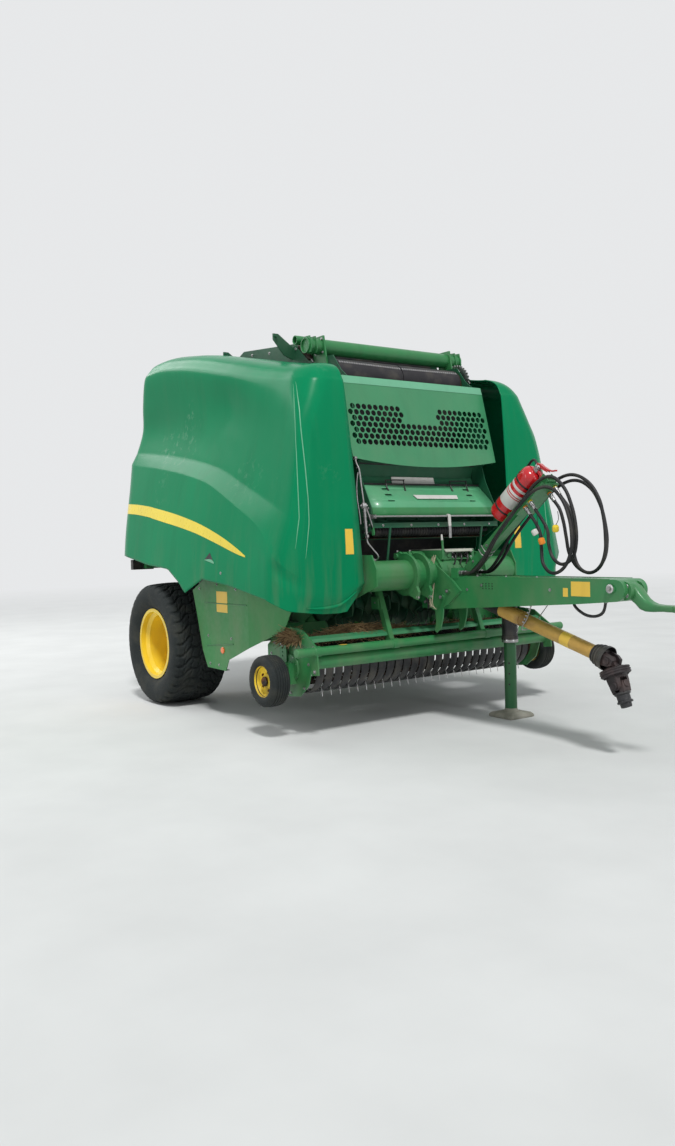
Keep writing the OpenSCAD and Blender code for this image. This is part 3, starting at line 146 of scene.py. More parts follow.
class Finish:
    """A procedural material: its nodes are added one by one to a principled shader."""

    def __init__(self, name, rgb, rough, metal=0.0, coat=0.0, specular=0.5):
        self.material = bpy.data.materials.new(name)
        self.material.use_nodes = True
        self.material.diffuse_color = (*rgb, 1)
        self.tree = self.material.node_tree
        self.shader = self.tree.nodes["Principled BSDF"]
        values = {
            "Base Color": (*rgb, 1), "Roughness": rough, "Metallic": metal, "Coat Weight": coat,
            "Coat Roughness": 0.12, "Specular IOR Level": specular,
        }
        for key, value in values.items():
            self.shader.inputs[key].default_value = value
        self.colour = (*rgb, 1)
        self.place = add_node(self.tree, "TexCoord").outputs["Object"]

    def noise(self, scale, detail, stretch=None, rough=0.55):
        """Noise at a scale in waves per metre, stretched along an axis if asked."""
        place = self.place
        if stretch:
            place = add_node(self.tree, "Mapping", {"Vector": place, "Scale": stretch}).outputs["Vector"]
        inputs = {"Vector": place, "Scale": scale, "Detail": detail, "Roughness": rough}
        return add_node(self.tree, "TexNoise", inputs).outputs["Fac"]

    def spread(self, value, low, high, out_low=0.0, out_high=1.0):
        """Value from low to high, stretched to out_low to out_high and kept inside them."""
        inputs = {"Value": value, "From Min": low, "From Max": high, "To Min": out_low, "To Max": out_high}
        return add_node(self.tree, "MapRange", inputs).outputs["Result"]

    def times(self, a, b):
        """One value times another."""
        return add_node(self.tree, "Math", {0: a, 1: b}, operation="MULTIPLY").outputs[0]

    def height(self):
        """Height in metres."""
        return add_node(self.tree, "SeparateXYZ", {0: self.place}).outputs["Z"]

    def stain(self, rgb, mask):
        """Lays a colour over what is there, as far as the mask says."""
        mix = add_node(self.tree, "Mix", {"A": self.colour, "B": (*rgb, 1), "Factor": mask}, data_type="RGBA")
        self.colour = mix.outputs["Result"]
        self.tree.links.new(self.colour, self.shader.inputs["Base Color"])

    def roughen(self, value, low, high):
        """Roughness from low to high as the value says."""
        self.tree.links.new(self.spread(value, 0.3, 0.7, low, high), self.shader.inputs["Roughness"])

    def bump(self, value, strength, distance):
        """Small relief from a value, in metres."""
        relief = add_node(self.tree, "Bump", {"Strength": strength, "Distance": distance, "Height": value})
        self.tree.links.new(relief.outputs["Normal"], self.shader.inputs["Normal"])


def shade(rgb, factor):
    """The colour lighter or darker by a factor."""
    return tuple(min(1.0, c * factor) for c in rgb)


def painted(name, rgb, dust, rough, dirt, coat, low=1.7):
    """Painted steel: faded patches, faint streaks, and dust that gathers below a height."""
    f = Finish(name, rgb, rough, coat=coat, specular=0.4)
    broad, fine = f.noise(1.9, 4.0), f.noise(26.0, 5.0)
    f.stain(shade(rgb, 1.22), f.spread(broad, 0.42, 0.72, 0, 0.6))
    f.stain(shade(rgb, 0.72), f.spread(f.noise(9.0, 4.0, (1, 1, 0.16)), 0.52, 0.74, 0, 0.35))
    near_ground = f.spread(f.height(), 0.1, low, 1.0, 0.22)
    film = f.spread(f.noise(5.5, 6.0, (1, 1, 0.45)), 0.42, 0.7, 0.05, 0.9)
    f.stain(dust, f.times(f.times(film, near_ground), dirt))
    f.roughen(fine, rough - 0.06, rough + 0.12)
    f.bump(f.noise(120.0, 2.0), 0.04, 0.0004)
    return f.material


def moulded(name, rgb, dust):
    """Glossy moulded plastic: pale scuffs in patches, fine scratches and thin streaks of dust low down."""
    f = Finish(name, rgb, 0.24, specular=0.06)
    f.stain(shade(rgb, 1.16), f.spread(f.noise(1.3, 4.0), 0.45, 0.72, 0, 0.7))
    f.stain(shade(rgb, 0.8), f.spread(f.noise(7.0, 4.0, (1, 1, 0.12)), 0.55, 0.75, 0, 0.4))
    patches = f.spread(f.noise(1.15, 2.0), 0.56, 0.66)
    high = f.spread(f.height(), 1.5, 2.1)
    speckle = f.spread(f.noise(17.0, 9.0, rough=0.72), 0.53, 0.66, 0, 0.55)
    f.stain((0.20, 0.40, 0.27), f.times(f.times(patches, high), speckle))
    film = f.spread(f.noise(9.0, 6.0, (1, 1, 0.10)), 0.5, 0.75, 0, 0.32)
    f.stain(dust, f.times(film, f.spread(f.height(), 0.8, 1.5, 1.0, 0.1)))
    f.roughen(f.noise(9.0, 3.0), 0.2, 0.27)
    return f.material


def rubbery(name, rgb, dust, rough, dirt, grain=160.0):
    """Rubber: matt, with dust in patches and a fine grain."""
    f = Finish(name, rgb, rough, specular=0.35)
    broad, fine = f.noise(7.0, 5.0), f.noise(grain, 3.0)
    f.stain(shade(rgb, 2.2), f.spread(broad, 0.4, 0.75, 0, 0.5))
    f.stain(dust, f.times(f.spread(broad, 0.48, 0.72), dirt))
    f.roughen(fine, rough - 0.12, rough + 0.12)
    f.bump(fine, 0.25, 0.0008)
    return f.material


def metallic(name, rgb, rough, rust):
    """Bare or plated steel with fine scratches and rust."""
    f = Finish(name, rgb, rough, metal=1.0)
    fine = f.noise(60.0, 6.0)
    f.stain(shade(rgb, 0.55), f.spread(fine, 0.42, 0.72, 0, 0.7))
    f.stain((0.20, 0.075, 0.028), f.times(f.spread(f.noise(21.0, 6.0), 0.45, 0.66), rust))
    f.roughen(fine, rough - 0.1, rough + 0.2)
    f.bump(fine, 0.12, 0.0005)
    return f.material


# The materials by the names that the pieces use
FINISHES = {}


def make_finishes(c):
    """Every finish of the baler, from the colours in its settings."""
    c = {name: tuple(getattr(c, name)) for name in BALER_PG_colours.__annotations__}
    dust, black = c["dust"], c["plastic"]
    FINISHES.update(
        moulding=moulded("moulded_green", c["moulding"], dust),
        # A pale green that paints highlights as well as wear: the creases' lines, the vent's sill and the
        # grille's top strip
        worn=moulded("worn_highlight_green", (0.165, 0.430, 0.270), dust),
        paint=painted("frame_green", c["paint"], dust, 0.36, 0.44, 0.12),
        light_paint=painted("light_green", c["light_paint"], dust, 0.36, 0.30, 0.25, 2.4),
        cover_paint=painted("cover_green", c["cover_paint"], dust, 0.34, 0.22, 0.2, 3.0),
        dark_paint=painted("jack_green", c["dark_paint"], dust, 0.4, 0.12, 0.1),
        faded_paint=painted("faded_green", c["faded_paint"], dust, 0.42, 0.40, 0.1),
        old_paint=painted("dull_green", c["old_paint"], dust, 0.5, 0.4, 0.0),
        yellow=painted("wheel_yellow", c["wheel_yellow"], dust, 0.34, 0.22, 0.3),
        tyre=rubbery("tyre_rubber", c["rubber"], shade(dust, 0.35), 0.8, 0.28),
        hose=rubbery("hose_rubber", c["hose_rubber"], dust, 0.5, 0.10, 320.0),
        belt=rubbery("belt_rubber", c["belt_rubber"], dust, 0.6, 0.16, 240.0),
        steel=metallic("plated_steel", c["steel"], 0.34, 0.12),
        washer=metallic("pale_washer", shade(c["steel"], 1.5), 0.5, 0.05),
        tine=metallic("tine_steel", shade(c["steel"], 1.2), 0.3, 0.10),
        dark_steel=metallic("dark_steel", c["dark_steel"], 0.5, 0.5),
        guard=rubbery("shaft_guard", c["guard_tan"], (0.13, 0.06, 0.035), 0.42, 0.75, 30.0),
        red=painted("bottle_red", c["bottle_red"], dust, 0.2, 0.05, 0.5),
        plastic=rubbery("black_plastic", black, dust, 0.42, 0.14, 260.0),
        band=rubbery("band_rubber", shade(black, 1.7), dust, 0.38, 0.22, 90.0),
        stripe=painted("stripe_yellow", c["stripe"], dust, 0.28, 0.04, 0.4),
        hub_yellow=painted("hub_yellow", c["wheel_yellow"], (0.09, 0.05, 0.025), 0.5, 1.4, 0.0),
        joint=rubbery("greasy_joint", (0.022, 0.017, 0.018), (0.085, 0.055, 0.050), 0.5, 0.9, 60.0),
        rust=metallic("rusty_steel", c["dark_steel"], 0.6, 1.0),
        label=painted("blank_label", c["label"], dust, 0.4, 0.35, 0.1, 3.0),
        decal=painted("blank_decal", c["decal"], dust, 0.36, 0.2, 0.2),
        cap_yellow=rubbery("cap_yellow", (0.80, 0.48, 0.03), dust, 0.4, 0.1),
        cap_orange=rubbery("cap_orange", (0.80, 0.22, 0.02), dust, 0.4, 0.1),
        twine=rubbery("twine_pale", (0.55, 0.47, 0.33), dust, 0.8, 0.5, 900.0),
        straw=rubbery("straw_brown", c["straw"], dust, 0.75, 0.6, 400.0),
        straw_dark=rubbery("straw_dark", shade(c["straw"], 0.32), dust, 0.8, 0.4, 400.0),
        weathered=painted("weathered_foot", (0.20, 0.20, 0.16), (0.42, 0.40, 0.34), 0.7, 1.0, 0.0, 0.9),
        worn_box=painted("worn_lid", (0.30, 0.34, 0.27), (0.62, 0.60, 0.52), 0.4, 1.0, 0.0, 4.0),
        reflector=painted("reflector_orange", c["reflector"], dust, 0.15, 0.0, 0.8),
        lens_red=painted("lens_red", c["lens"], dust, 0.12, 0.0, 0.9),
        lens_amber=painted("lens_amber", (0.75, 0.20, 0.01), dust, 0.12, 0.0, 0.9),
    )


# Nodes of the frame that each finish goes on
NODE_FINISH = {
    "paint": (
        "axle frame top_tube gearbox drawbar hitch_tongue hose_rack jack_leg pickup_frame wind_guard "
        "gate_frame net_cover"
    ),
    "light_paint": "grille",
    "faded_paint": "side_skirts",
    "moulding": "shield_left shield_right",
    "old_paint": "chamber_walls net_box feed_rotor gate_barrel_left gate_barrel_right",
    "steel": "chamber_rollers net_linkage hose_couplers gate_rod_left gate_rod_right",
    "belt": "chamber_belts gate_belts net_roller",
    "plastic": "jack_sleeve pto_rear pickup_bands rear_lamps",
    "dark_steel": "tine_reel pto_yoke",
    "guard": "pto_front",
    "red": "extinguisher",
    "tyre": "tyre_left tyre_right gauge_wheel_left gauge_wheel_right",
    "yellow": "rim_left rim_right",
    "hose": "hose_1 hose_2 hose_3 hose_4",
}
# Nodes whose plate edges are rounded by this much, in metres
EDGE_ROUNDING = 0.0016
ROUNDED = (
    "axle frame chamber_walls side_skirts top_tube net_box gearbox drawbar hose_rack jack_sleeve "
    "pickup_frame wind_guard gate_frame"
)

# ---------------------------------------------------------------- camera, stage and light

# Where the photograph was taken from, in metres, and its yaw, pitch and roll in degrees
CAMERA_PLACE, CAMERA_TURN = (5.817, -4.626, 1.376), (145.035, -2.052, -1.519)
# The floor's radius in metres, and how far out it begins and ends to fade into the backdrop
FLOOR_R, GROUND_FADE = 60.0, (9.0, 26.0)
# The soft light that comes from all round
SKY_TINT = (0.94, 0.97, 1.0)
# Soft panels: share of the set power, place, aim, width and height
PANELS = (
    ("rear_panel", 4.6, (-9.6, -4.0, 8.2), (-1.0, -1.3, 1.9), 8.0, 4.6),
    ("side_panel", 0.7, (0.4, -9.0, 3.6), (0.3, -1.2, 1.9), 0.9, 5.0),
    ("front_panel", 0.7, (10.0, 0.6, 3.6), (0.4, -1.0, 1.9), 0.9, 5.0),
)


def placed(name, data):
    """A new object with this data, in the scene."""
    obj = bpy.data.objects.new(name, data)
    bpy.context.scene.collection.objects.link(obj)
    return obj


def camera(lens):
    """The camera at the photograph's place."""
    data = bpy.data.cameras.new("camera")
    data.sensor_width = 36.0
    data.lens = lens
    data.clip_start, data.clip_end = 0.05, 300.0
    cam = placed("camera", data)
    yaw, pitch, roll = (math.radians(a) for a in CAMERA_TURN)
    ahead = Vector((math.cos(yaw) * math.cos(pitch), math.sin(yaw) * math.cos(pitch), math.sin(pitch)))
    right = Vector((math.sin(yaw), -math.cos(yaw), 0))
    up = right.cross(ahead)
    turned_right = right * math.cos(roll) + up * math.sin(roll)
    turned_up = up * math.cos(roll) - right * math.sin(roll)
    axes = Matrix((turned_right, turned_up, -ahead)).transposed().to_4x4()
    cam.matrix_world = Matrix.Translation(CAMERA_PLACE) @ axes
    bpy.context.scene.camera = cam


def floor(rgb, backdrop):
    """A round floor whose far part fades into the backdrop."""
    data = bpy.data.meshes.new("floor")
    bm = bmesh.new()
    bmesh.ops.create_circle(bm, cap_ends=True, segments=96, radius=FLOOR_R)
    bm.to_mesh(data)
    bm.free()
    obj = placed("floor", data)
    f = Finish("floor_pale", rgb, 0.9, specular=0.2)
    f.stain(shade(rgb, 1.08), f.spread(f.noise(1.4, 4.0), 0.3, 0.7))
    # The far part shows the backdrop's own colour
    glow = add_node(f.tree, "Emission", {"Color": (*backdrop, 1)})
    far = add_node(f.tree, "VectorMath", {0: f.place}, operation="LENGTH").outputs["Value"]
    fade = f.spread(far, *GROUND_FADE)
    mix = add_node(f.tree, "MixShader", {"Fac": fade, 1: f.shader.outputs[0], 2: glow.outputs[0]})
    f.tree.links.new(mix.outputs[0], f.tree.nodes["Material Output"].inputs["Surface"])
    data.materials.append(f.material)


def sky(rgb, strength):
    """A soft light from all round that shows the backdrop's colour to the camera."""
    world = bpy.data.worlds.new("backdrop")
    bpy.context.scene.world = world
    world.use_nodes = True
    tree = world.node_tree
    light = tree.nodes["Background"]
    light.inputs["Color"].default_value = (*SKY_TINT, 1)
    light.inputs["Strength"].default_value = strength
    seen = add_node(tree, "Background", {"Color": (*rgb, 1)})
    path = add_node(tree, "LightPath")
    shown = path.outputs["Is Camera Ray"]
    for ray in ("Is Glossy Ray", "Is Transmission Ray"):
        shown = add_node(tree, "Math", {0: shown, 1: path.outputs[ray]}, operation="MAXIMUM").outputs[0]
    mix = add_node(tree, "MixShader", {"Fac": shown, 1: light.outputs[0], 2: seen.outputs[0]})
    tree.links.new(mix.outputs[0], tree.nodes["World Output"].inputs["Surface"])


def lamp(name, strength, angle, turn):
    """A sun whose light comes along its own downward axis, turned by turn."""
    data = bpy.data.lights.new(name, "SUN")
    data.energy, data.angle = strength, math.radians(angle)
    placed(name, data).rotation_euler = [math.radians(a) for a in turn]


def panel(name, watts, place, aim, wide, tall):
    """A soft rectangular lamp at a place, turned to a point; the camera doesn't see it."""
    data = bpy.data.lights.new(name, "AREA")
    data.shape, data.size, data.size_y, data.energy = "RECTANGLE", wide, tall, watts
    obj = placed(name, data)
    back = (Vector(place) - Vector(aim)).normalized()
    obj.matrix_world = Matrix.Translation(place) @ back.to_track_quat("Z", "Y").to_matrix().to_4x4()
    obj.visible_camera = False


class BALER_OT_stage(bpy.types.Operator):
    """Makes the camera, the floor, the backdrop and the lights."""

    bl_idname = "baler.stage"
    bl_label = "Stage"

    def execute(self, context):
        s = context.scene.baler_stage
        camera(s.lens)
        floor(tuple(s.floor), tuple(s.sky))
        sky(tuple(s.sky), s.sky_light)
        lamp("sun", s.sun_light, 9.0, (32.0, 12.0, 45.0))
        for name, share, *where in PANELS:
            panel(name, s.panel_light * share, *where)
        context.scene.view_settings.view_transform = "Standard"
        return {"FINISHED"}


# ---------------------------------------------------------------- hoses

# Each hose: its CAD node, its real length in metres and the points of its route in millimetres
HOSES = (
    ("hose_1", 2.554, (
        (2561, 62, 1116), (2680, 62, 1124), (2790, 62, 1218), (2900, 62, 1360), (3030, 62, 1488),
        (3170, 64, 1612), (3310, 66, 1716), (3450, 68, 1752), (3580, 70, 1700), (3664, 72, 1592),
        (3700, 72, 1466), (3712, 72, 1350), (3708, 70, 1248), (3668, 66, 1160), (3588, 62, 1124),
        (3508, 60, 1160), (3472, 58, 1250), (3474, 58, 1376), (3452, 58, 1512), (3363.1, 58, 1625.8),
    )),
    ("hose_2", 2.459, (
        (2561, 94, 1116), (2680, 94, 1122), (2792, 94, 1208), (2905, 94, 1344), (3035, 94, 1470),
        (3175, 96, 1588), (3315, 98, 1684), (3455, 100, 1716), (3576, 102, 1660), (3650, 104, 1550),
        (3684, 106, 1430), (3696, 106, 1316), (3670, 104, 1204), (3586, 100, 1126), (3482, 92, 1148),
        (3420, 76, 1240), (3408, 60, 1350), (3390, 58, 1446), (3358, 58, 1536), (3316.2, 58, 1588.4),
    )),
    ("hose_3", 2.251, (
        (2561, -64, 1116), (2680, -64, 1124), (2790, -64, 1218), (2900, -64, 1360), (3030, -66, 1488),
        (3160, -68, 1608), (3290, -70, 1715), (3410, -72, 1740), (3514, -74, 1664), (3574, -74, 1546),
        (3602, -74, 1432), (3606, -74, 1326), (3576, -72, 1232), (3492, -68, 1182), (3408, -62, 1216),
        (3366, -58, 1304), (3358, -58, 1394), (3320, -58, 1458), (3253.7, -58, 1538.5),
    )),
    ("hose_4", 2.245, (
        (2561, -96, 1116), (2680, -96, 1122), (2792, -96, 1208), (2905, -96, 1344), (3035, -98, 1470),
        (3170, -100, 1582), (3305, -102, 1664), (3430, -104, 1666), (3524, -106, 1590),
        (3576, -106, 1480), (3596, -106, 1370), (3588, -106, 1262), (3526, -104, 1160),
        (3424, -96, 1126), (3336, -80, 1182), (3306, -62, 1280), (3296, -58, 1370), (3266, -58, 1436),
        (3210.7, -58, 1504.1),
    )),
)


# Length of a spline handle as a share of the stretch it lies along
HANDLE_SHARE = 0.345


def hose_curve(name, points, diameter):
    """A hose as one smooth spline through its route's points."""
    data = bpy.data.curves.new(name, "CURVE")
    data.dimensions, data.bevel_depth = "3D", diameter / 2
    data.bevel_resolution, data.resolution_u, data.use_fill_caps = 4, 10, True
    spline = data.splines.new("BEZIER")
    last = len(points) - 1
    spline.bezier_points.add(last)
    for i, point in enumerate(spline.bezier_points):
        before, after = points[max(i - 1, 0)], points[min(i + 1, last)]
        lean = (after - before).normalized() * HANDLE_SHARE
        point.handle_left_type = point.handle_right_type = "FREE"
        point.co = points[i]
        point.handle_left = points[i] - lean * (points[i] - before).length
        point.handle_right = points[i] + lean * (after - points[i]).length
    return placed(name, data)


class BALER_OT_hoses(bpy.types.Operator):
    """Lays the hydraulic hoses along the rack to their couplers."""

    bl_idname = "baler.hoses"
    bl_label = "Hoses"

    def execute(self, context):
        diameter = context.scene.baler_sizes.hose
        hose_fittings().done("hose_fittings", "chassis")
        dust_caps().done("dust_caps", "chassis")
        for k, (node, length, route) in enumerate(HOSES):
            points = [at(*p) for p in route]
            end = coupler(k).done("quick_coupler_%d" % (k + 1), "chassis", "hose_couplers", bevel=0.5)
            hose = hose_curve(node.replace("hose", "hydraulic_hose"), points, diameter)
            hose.data.materials.append(FINISHES["hose"])
            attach(hose, "chassis")
            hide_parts(node)
        return {"FINISHED"}


# ---------------------------------------------------------------- mesh pieces

UP, AHEAD, LEFT = (0, 0, 1), (1, 0, 0), (0, 1, 0)
SIDES = (("left", 1), ("right", -1))


def lookup(x, table):
    """The value at x of a table of places and values, on a smooth curve through them."""
    if x <= table[0][0]:
        return table[0][1]
    if x >= table[-1][0]:
        return table[-1][1]
    i = max(k for k in range(len(table) - 1) if table[k][0] <= x)
    (x0, v0), (x1, v1) = table[i], table[i + 1]
    span = x1 - x0

    def slope(k):
        """Slope of the straight line from a place of the table to the next."""
        return (table[k + 1][1] - table[k][1]) / (table[k + 1][0] - table[k][0])

    def lean(k):
        """Slope of the curve at a place of the table, flat where the values turn."""
        if k == 0 or k == len(table) - 1:
            return slope(i)
        before, after = slope(k - 1), slope(k)
        return 0.0 if before * after <= 0 else 2 * before * after / (before + after)

    t, m0, m1 = (x - x0) / span, lean(i) * span, lean(i + 1) * span
    start, end = 2 * t**3 - 3 * t**2 + 1, 3 * t**2 - 2 * t**3
    return v0 * start + m0 * (t**3 - 2 * t**2 + t) + v1 * end + m1 * (t**3 - t**2)


def straight(x, table):
    """The value at x on straight lines between a table's places."""
    for (x0, v0), (x1, v1) in zip(table, table[1:]):
        if x <= x1:
            return v0 + (v1 - v0) * max(0.0, (x - x0) / (x1 - x0))
    return table[-1][1]


def smooth_line(points, steps):
    """Points on a smooth line through the given ones, this many steps from one to the next."""
    points = [Vector(p) for p in points]
    out = []
    last = len(points) - 1
    for i in range(last):
        a, b, c, d = (points[max(0, min(last, i + k))] for k in (-1, 0, 1, 2))
        for t in (k / steps for k in range(steps)):
            square, cube = (2 * a - 5 * b + 4 * c - d) * t**2, (3 * b - a - 3 * c + d) * t**3
            out.append(0.5 * (2 * b + (c - a) * t + square + cube))
    return out + [points[-1]]


def seeded(index, seed):
    """A number from 0 to 1 that is always the same for the same index and seed."""
    value = math.sin(index * 12.9898 + seed * 78.233) * 43758.5453
    return value - math.floor(value)


def turns(count, start=0.0):
    """Turns in radians, evenly round a circle."""
    return [2 * math.pi * (k + start) / count for k in range(count)]


def mirrored(points, side):
    """Points of the left side, on the side asked for."""
    return [(p.x, p.y * side, p.z) for p in points]


def rounded_ring(wide, tall, r, count):
    """Points round a rectangle with rounded corners, from its half sizes."""
    ring = [(math.cos(a), math.sin(a)) for a in turns(count, 0.5)]
    return [(math.copysign(wide - r, c) + r * c, math.copysign(tall - r, s) + r * s) for c, s in ring]


def round_edges(obj, width, sharp):
    """Rounds an object's edges that are sharper than an angle in degrees."""
    rounding = obj.modifiers.new("rounded edges", "BEVEL")
    rounding.width, rounding.segments = width, 2
    rounding.limit_method, rounding.angle_limit = "ANGLE", math.radians(sharp)


def thicken(obj, name, thickness):
    """Gives a sheet its thickness, inward."""
    wall = obj.modifiers.new(name, "SOLIDIFY")
    wall.thickness, wall.offset = thickness, -1.0


class Shape:
    """One piece, drawn in millimetres from the axle; each face takes the finish in use."""

    def __init__(self, finish):
        self.mesh = bmesh.new()
        self.finishes, self.slot = [finish], 0
        self.smooth = True
        self.place = Matrix()

    def use(self, finish):
        """What is drawn next has this finish."""
        if finish not in self.finishes:
            self.finishes.append(finish)
        self.slot = self.finishes.index(finish)
        return self

    def put(self, x=0, y=0, z=0, turn=0):
        """What is drawn next is turned down about the Y axis and moved to x, y, z."""
        self.place = Matrix.Translation((x, y, z)) @ Matrix.Rotation(math.radians(turn), 4, "Y")
        return self

    def face(self, corners):
        """A face on corners that are already there."""
        if len(set(corners)) > 2:
            made = self.mesh.faces.new(corners)
            made.material_index, made.smooth = self.slot, self.smooth

    def skin(self, rings, around=True, caps=True, closed=False):
        """A skin over rings of points: closed round each ring, and from the last to the first."""
        rows = [[self.mesh.verts.new(at(*(self.place @ Vector(p)))) for p in ring] for ring in rings]
        n = len(rows[0])
        for a, b in zip(rows, rows[1:] + (rows[:1] if closed else [])):
            for k in range(n if around else n - 1):
                self.face((a[k], a[(k + 1) % n], b[(k + 1) % n], b[k]))
        if caps and not closed:
            self.face(rows[0][::-1])
            self.face(rows[-1])
        return rows

    def plate(self, outline, low, high):
        """An outline of x and z, as thick as from low to high across it."""
        self.skin([[(x, y, z) for x, z in outline] for y in (low, high)])
        return self

    def slab(self, outline, shift):
        """An outline in space, as thick as the shift from its one face to the other."""
        self.skin([outline, [tuple(a + b for a, b in zip(p, shift)) for p in outline]])
        return self

    def taper(self, *ends):
        """A block along X between rectangles, each its place and its half sizes."""
        self.skin([[(x, -y, -z), (x, y, -z), (x, y, z), (x, -y, z)] for x, y, z in ends])
        return self

    def box(self, low, high):
        """A block between two corners."""
        (x0, y0, z0), (x1, y1, z1) = low, high
        return self.plate([(x0, z0), (x1, z0), (x1, z1), (x0, z1)], y0, y1)

    def lathe(self, profile, centre, axis, segments, caps=True, closed=False):
        """A profile of radius and distance along an axis, turned about it through the centre."""
        centre, axis = Vector(centre), Vector(axis).normalized()
        side = axis.orthogonal().normalized()
        other = axis.cross(side)
        rings = [
            [centre + axis * h + (side * math.cos(t) + other * math.sin(t)) * r for t in turns(segments)]
            for r, h in profile
        ]
        self.skin(rings, caps=caps, closed=closed)
        return self

    def hexagon(self, profile, centre, axis):
        """A six-sided profile with flat faces."""
        self.smooth = False
        self.lathe(profile, centre, axis, 6)
        self.smooth = True
        return self

    def pipe(self, points, radius, sides=10):
        """A round bar along points; the radius may be a function of how far along."""
        points = [Vector(p) for p in points]
        last = len(points) - 1
        side = (points[1] - points[0]).orthogonal().normalized()
        rings = []
        for i, point in enumerate(points):
            before = (point - points[i - 1]).normalized() if i else (points[1] - point).normalized()
            after = (points[i + 1] - point).normalized() if i < last else before
            ahead = (before + after).normalized()
            side = (side - ahead * side.dot(ahead)).normalized()
            other = ahead.cross(side)
            r = radius(i / last) if callable(radius) else radius
            wide = r / max(0.5, before.dot(ahead))
            rings.append([point + (side * math.cos(a) + other * math.sin(a)) * wide for a in turns(sides)])
        self.skin(rings)
        return self

    def wire(self, points, radius, sides=8, steps=6):
        """A round bar along a smooth line through points."""
        return self.pipe(smooth_line(points, steps), radius, sides)

    def bolt(self, place, axis, across, high):
        """A hexagon head on its washer, from its width and height."""
        r = across * 0.58
        self.lathe([(across * 0.95, -1), (across * 0.95, 2)], place, axis, 20)
        return self.hexagon([(r, 2), (r, high - 1.5), (r * 0.88, high)], place, axis)

    def side_bolts(self, side, y, places, across, high):
        """Bolts on a face that looks to one side, from their places in x and z."""
        for x, z in places:
            self.bolt((x, side * y, z), (0, side, 0), across, high)
        return self

    def bolt_circle(self, centre, radius, count, start, side, across, high):
        """Bolts round a centre, on a face that looks to one side."""
        x, y, z = centre
        for a in turns(count, start):
            self.bolt((x + radius * math.cos(a), y, z + radius * math.sin(a)), (0, side, 0), across, high)
        return self

    def done(self, name, body, replaces="", bevel=0.0, sharp=34):
        """Makes the object, which rides on a body and may stand for nodes of the frame."""
        bmesh.ops.recalc_face_normals(self.mesh, faces=self.mesh.faces)
        data = bpy.data.meshes.new(name)
        self.mesh.to_mesh(data)
        self.mesh.free()
        for finish in self.finishes:
            data.materials.append(FINISHES[finish])
        data.set_sharp_from_angle(angle=math.radians(sharp))
        obj = placed(name, data)
        if bevel:
            round_edges(obj, bevel / 1000, sharp)
        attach(obj, body)
        if replaces:
            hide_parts(*replaces.split())
        return obj


# ---------------------------------------------------------------- side shields

# Lines along the unrolled flank, as place and height: top, both edges of the moulded step, bottom
SHIELD_TOP = ((-950, 3030), (-300, 3055), (180, 3005), (1000, 2838), (1670, 2690), (1950, 2644), (2600, 2618))
STEP_UPPER = ((-1300, 2290), (-650, 2210), (280, 2080), (990, 1940), (1530, 1756), (2180, 1530), (2700, 1300))
STEP_LOWER = (
    (-1300, 2170), (-540, 2100), (830, 1883), (1530, 1630), (1900, 1460), (2130, 1270), (2400, 1130),
    (2700, 1080),
)
SHIELD_BOTTOM = (
    (-1400, 1300), (-500, 1280), (60, 1200), (450, 1170), (670, 1060), (760, 985), (1070, 1100),
    (1500, 1060), (2000, 980), (2250, 900), (2550, 866), (2745, 862), (2900, 1035), (2960, 1060),
)
# Crown rows: depth under the top line, distance from the middle, front and rear end
CROWN = (
    (0, 800, 1950, -470), (14, 920, 2030, -560), (50, 1015, 2090, -625), (110, 1070, 2125, -680),
    (180, 1100, 2146, -735),
)
# Front and rear end of the flank, as height and place
SHIELD_FRONT = ((800, 2190), (1050, 2240), (1410, 2245), (1930, 2205), (2420, 2150))
SHIELD_REAR = ((1300, -800), (1700, -855), (2215, -950), (2500, -880), (2820, -780))
# Rows above and below the step, as shares of the way down
UPPER_SHARES = (0.33, 0.67, 1.0)
LOWER_SHARES = (0.0, 0.25, 0.5, 0.75, 1.0)
STEP_ROW = len(CROWN) + len(UPPER_SHARES) - 1
ROWS = STEP_ROW + 1 + len(LOWER_SHARES)
# Points from one row to the next, above the step and below it
UPPER_STEPS, LOWER_STEPS = 5, 7
# Half width of the flank low down, depth of the step, both corners' radii, inner end of the rear face
SHIELD_Y, STEP_DEPTH, FRONT_R, REAR_R, REAR_INNER = 1385, 58, 200, 400, 790
# Unrolled places of the rear and front face, where their rows take their height
REAR_PLACE, FRONT_PLACE = -700, 2300
# How far the flank leans in, from which height and over which rise
FLANK_LEAN, LEAN_FROM, LEAN_RISE = 285, 1050, 1360
# Above the step the front corner is a narrow one with two creases: share of its run and of its depth
CREASE_R = 84
CREASES = (
    (0, 0), (0.30, 0.012), (0.42, 0.035), (0.50, 0.085), (0.57, 0.16), (0.66, 0.30), (0.76, 0.47),
    (0.85, 0.63), (0.92, 0.77), (0.97, 0.89), (1, 1),
)
# Stretches of the shield's outline with their number of columns
STRETCHES = (("rear face", 5), ("rear corner", 16), ("side", 64), ("front corner", 12), ("front face", 7))
# The last column of the side, just before the front corner
CORNER_COLUMN = sum(count for _, count in STRETCHES[:3]) - 1
# Share of the flank over which its rows are eased into the corners
EASED = 0.12
# The point of a column that tells where along the flank it stands
STRIPE_POINT = STEP_ROW * UPPER_STEPS + 10
# Upper and lower edge of the yellow stripe along the flank
STRIPE_UPPER = (
    (-1200, 1775), (-470, 1738), (-145, 1709), (185, 1665), (790, 1560), (1265, 1440), (1565, 1340),
    (1735, 1271),
)
STRIPE_LOWER = (
    (-1200, 1685), (-470, 1650), (-130, 1617), (237, 1562), (808, 1470), (1280, 1366), (1580, 1294),
    (1745, 1262),
)
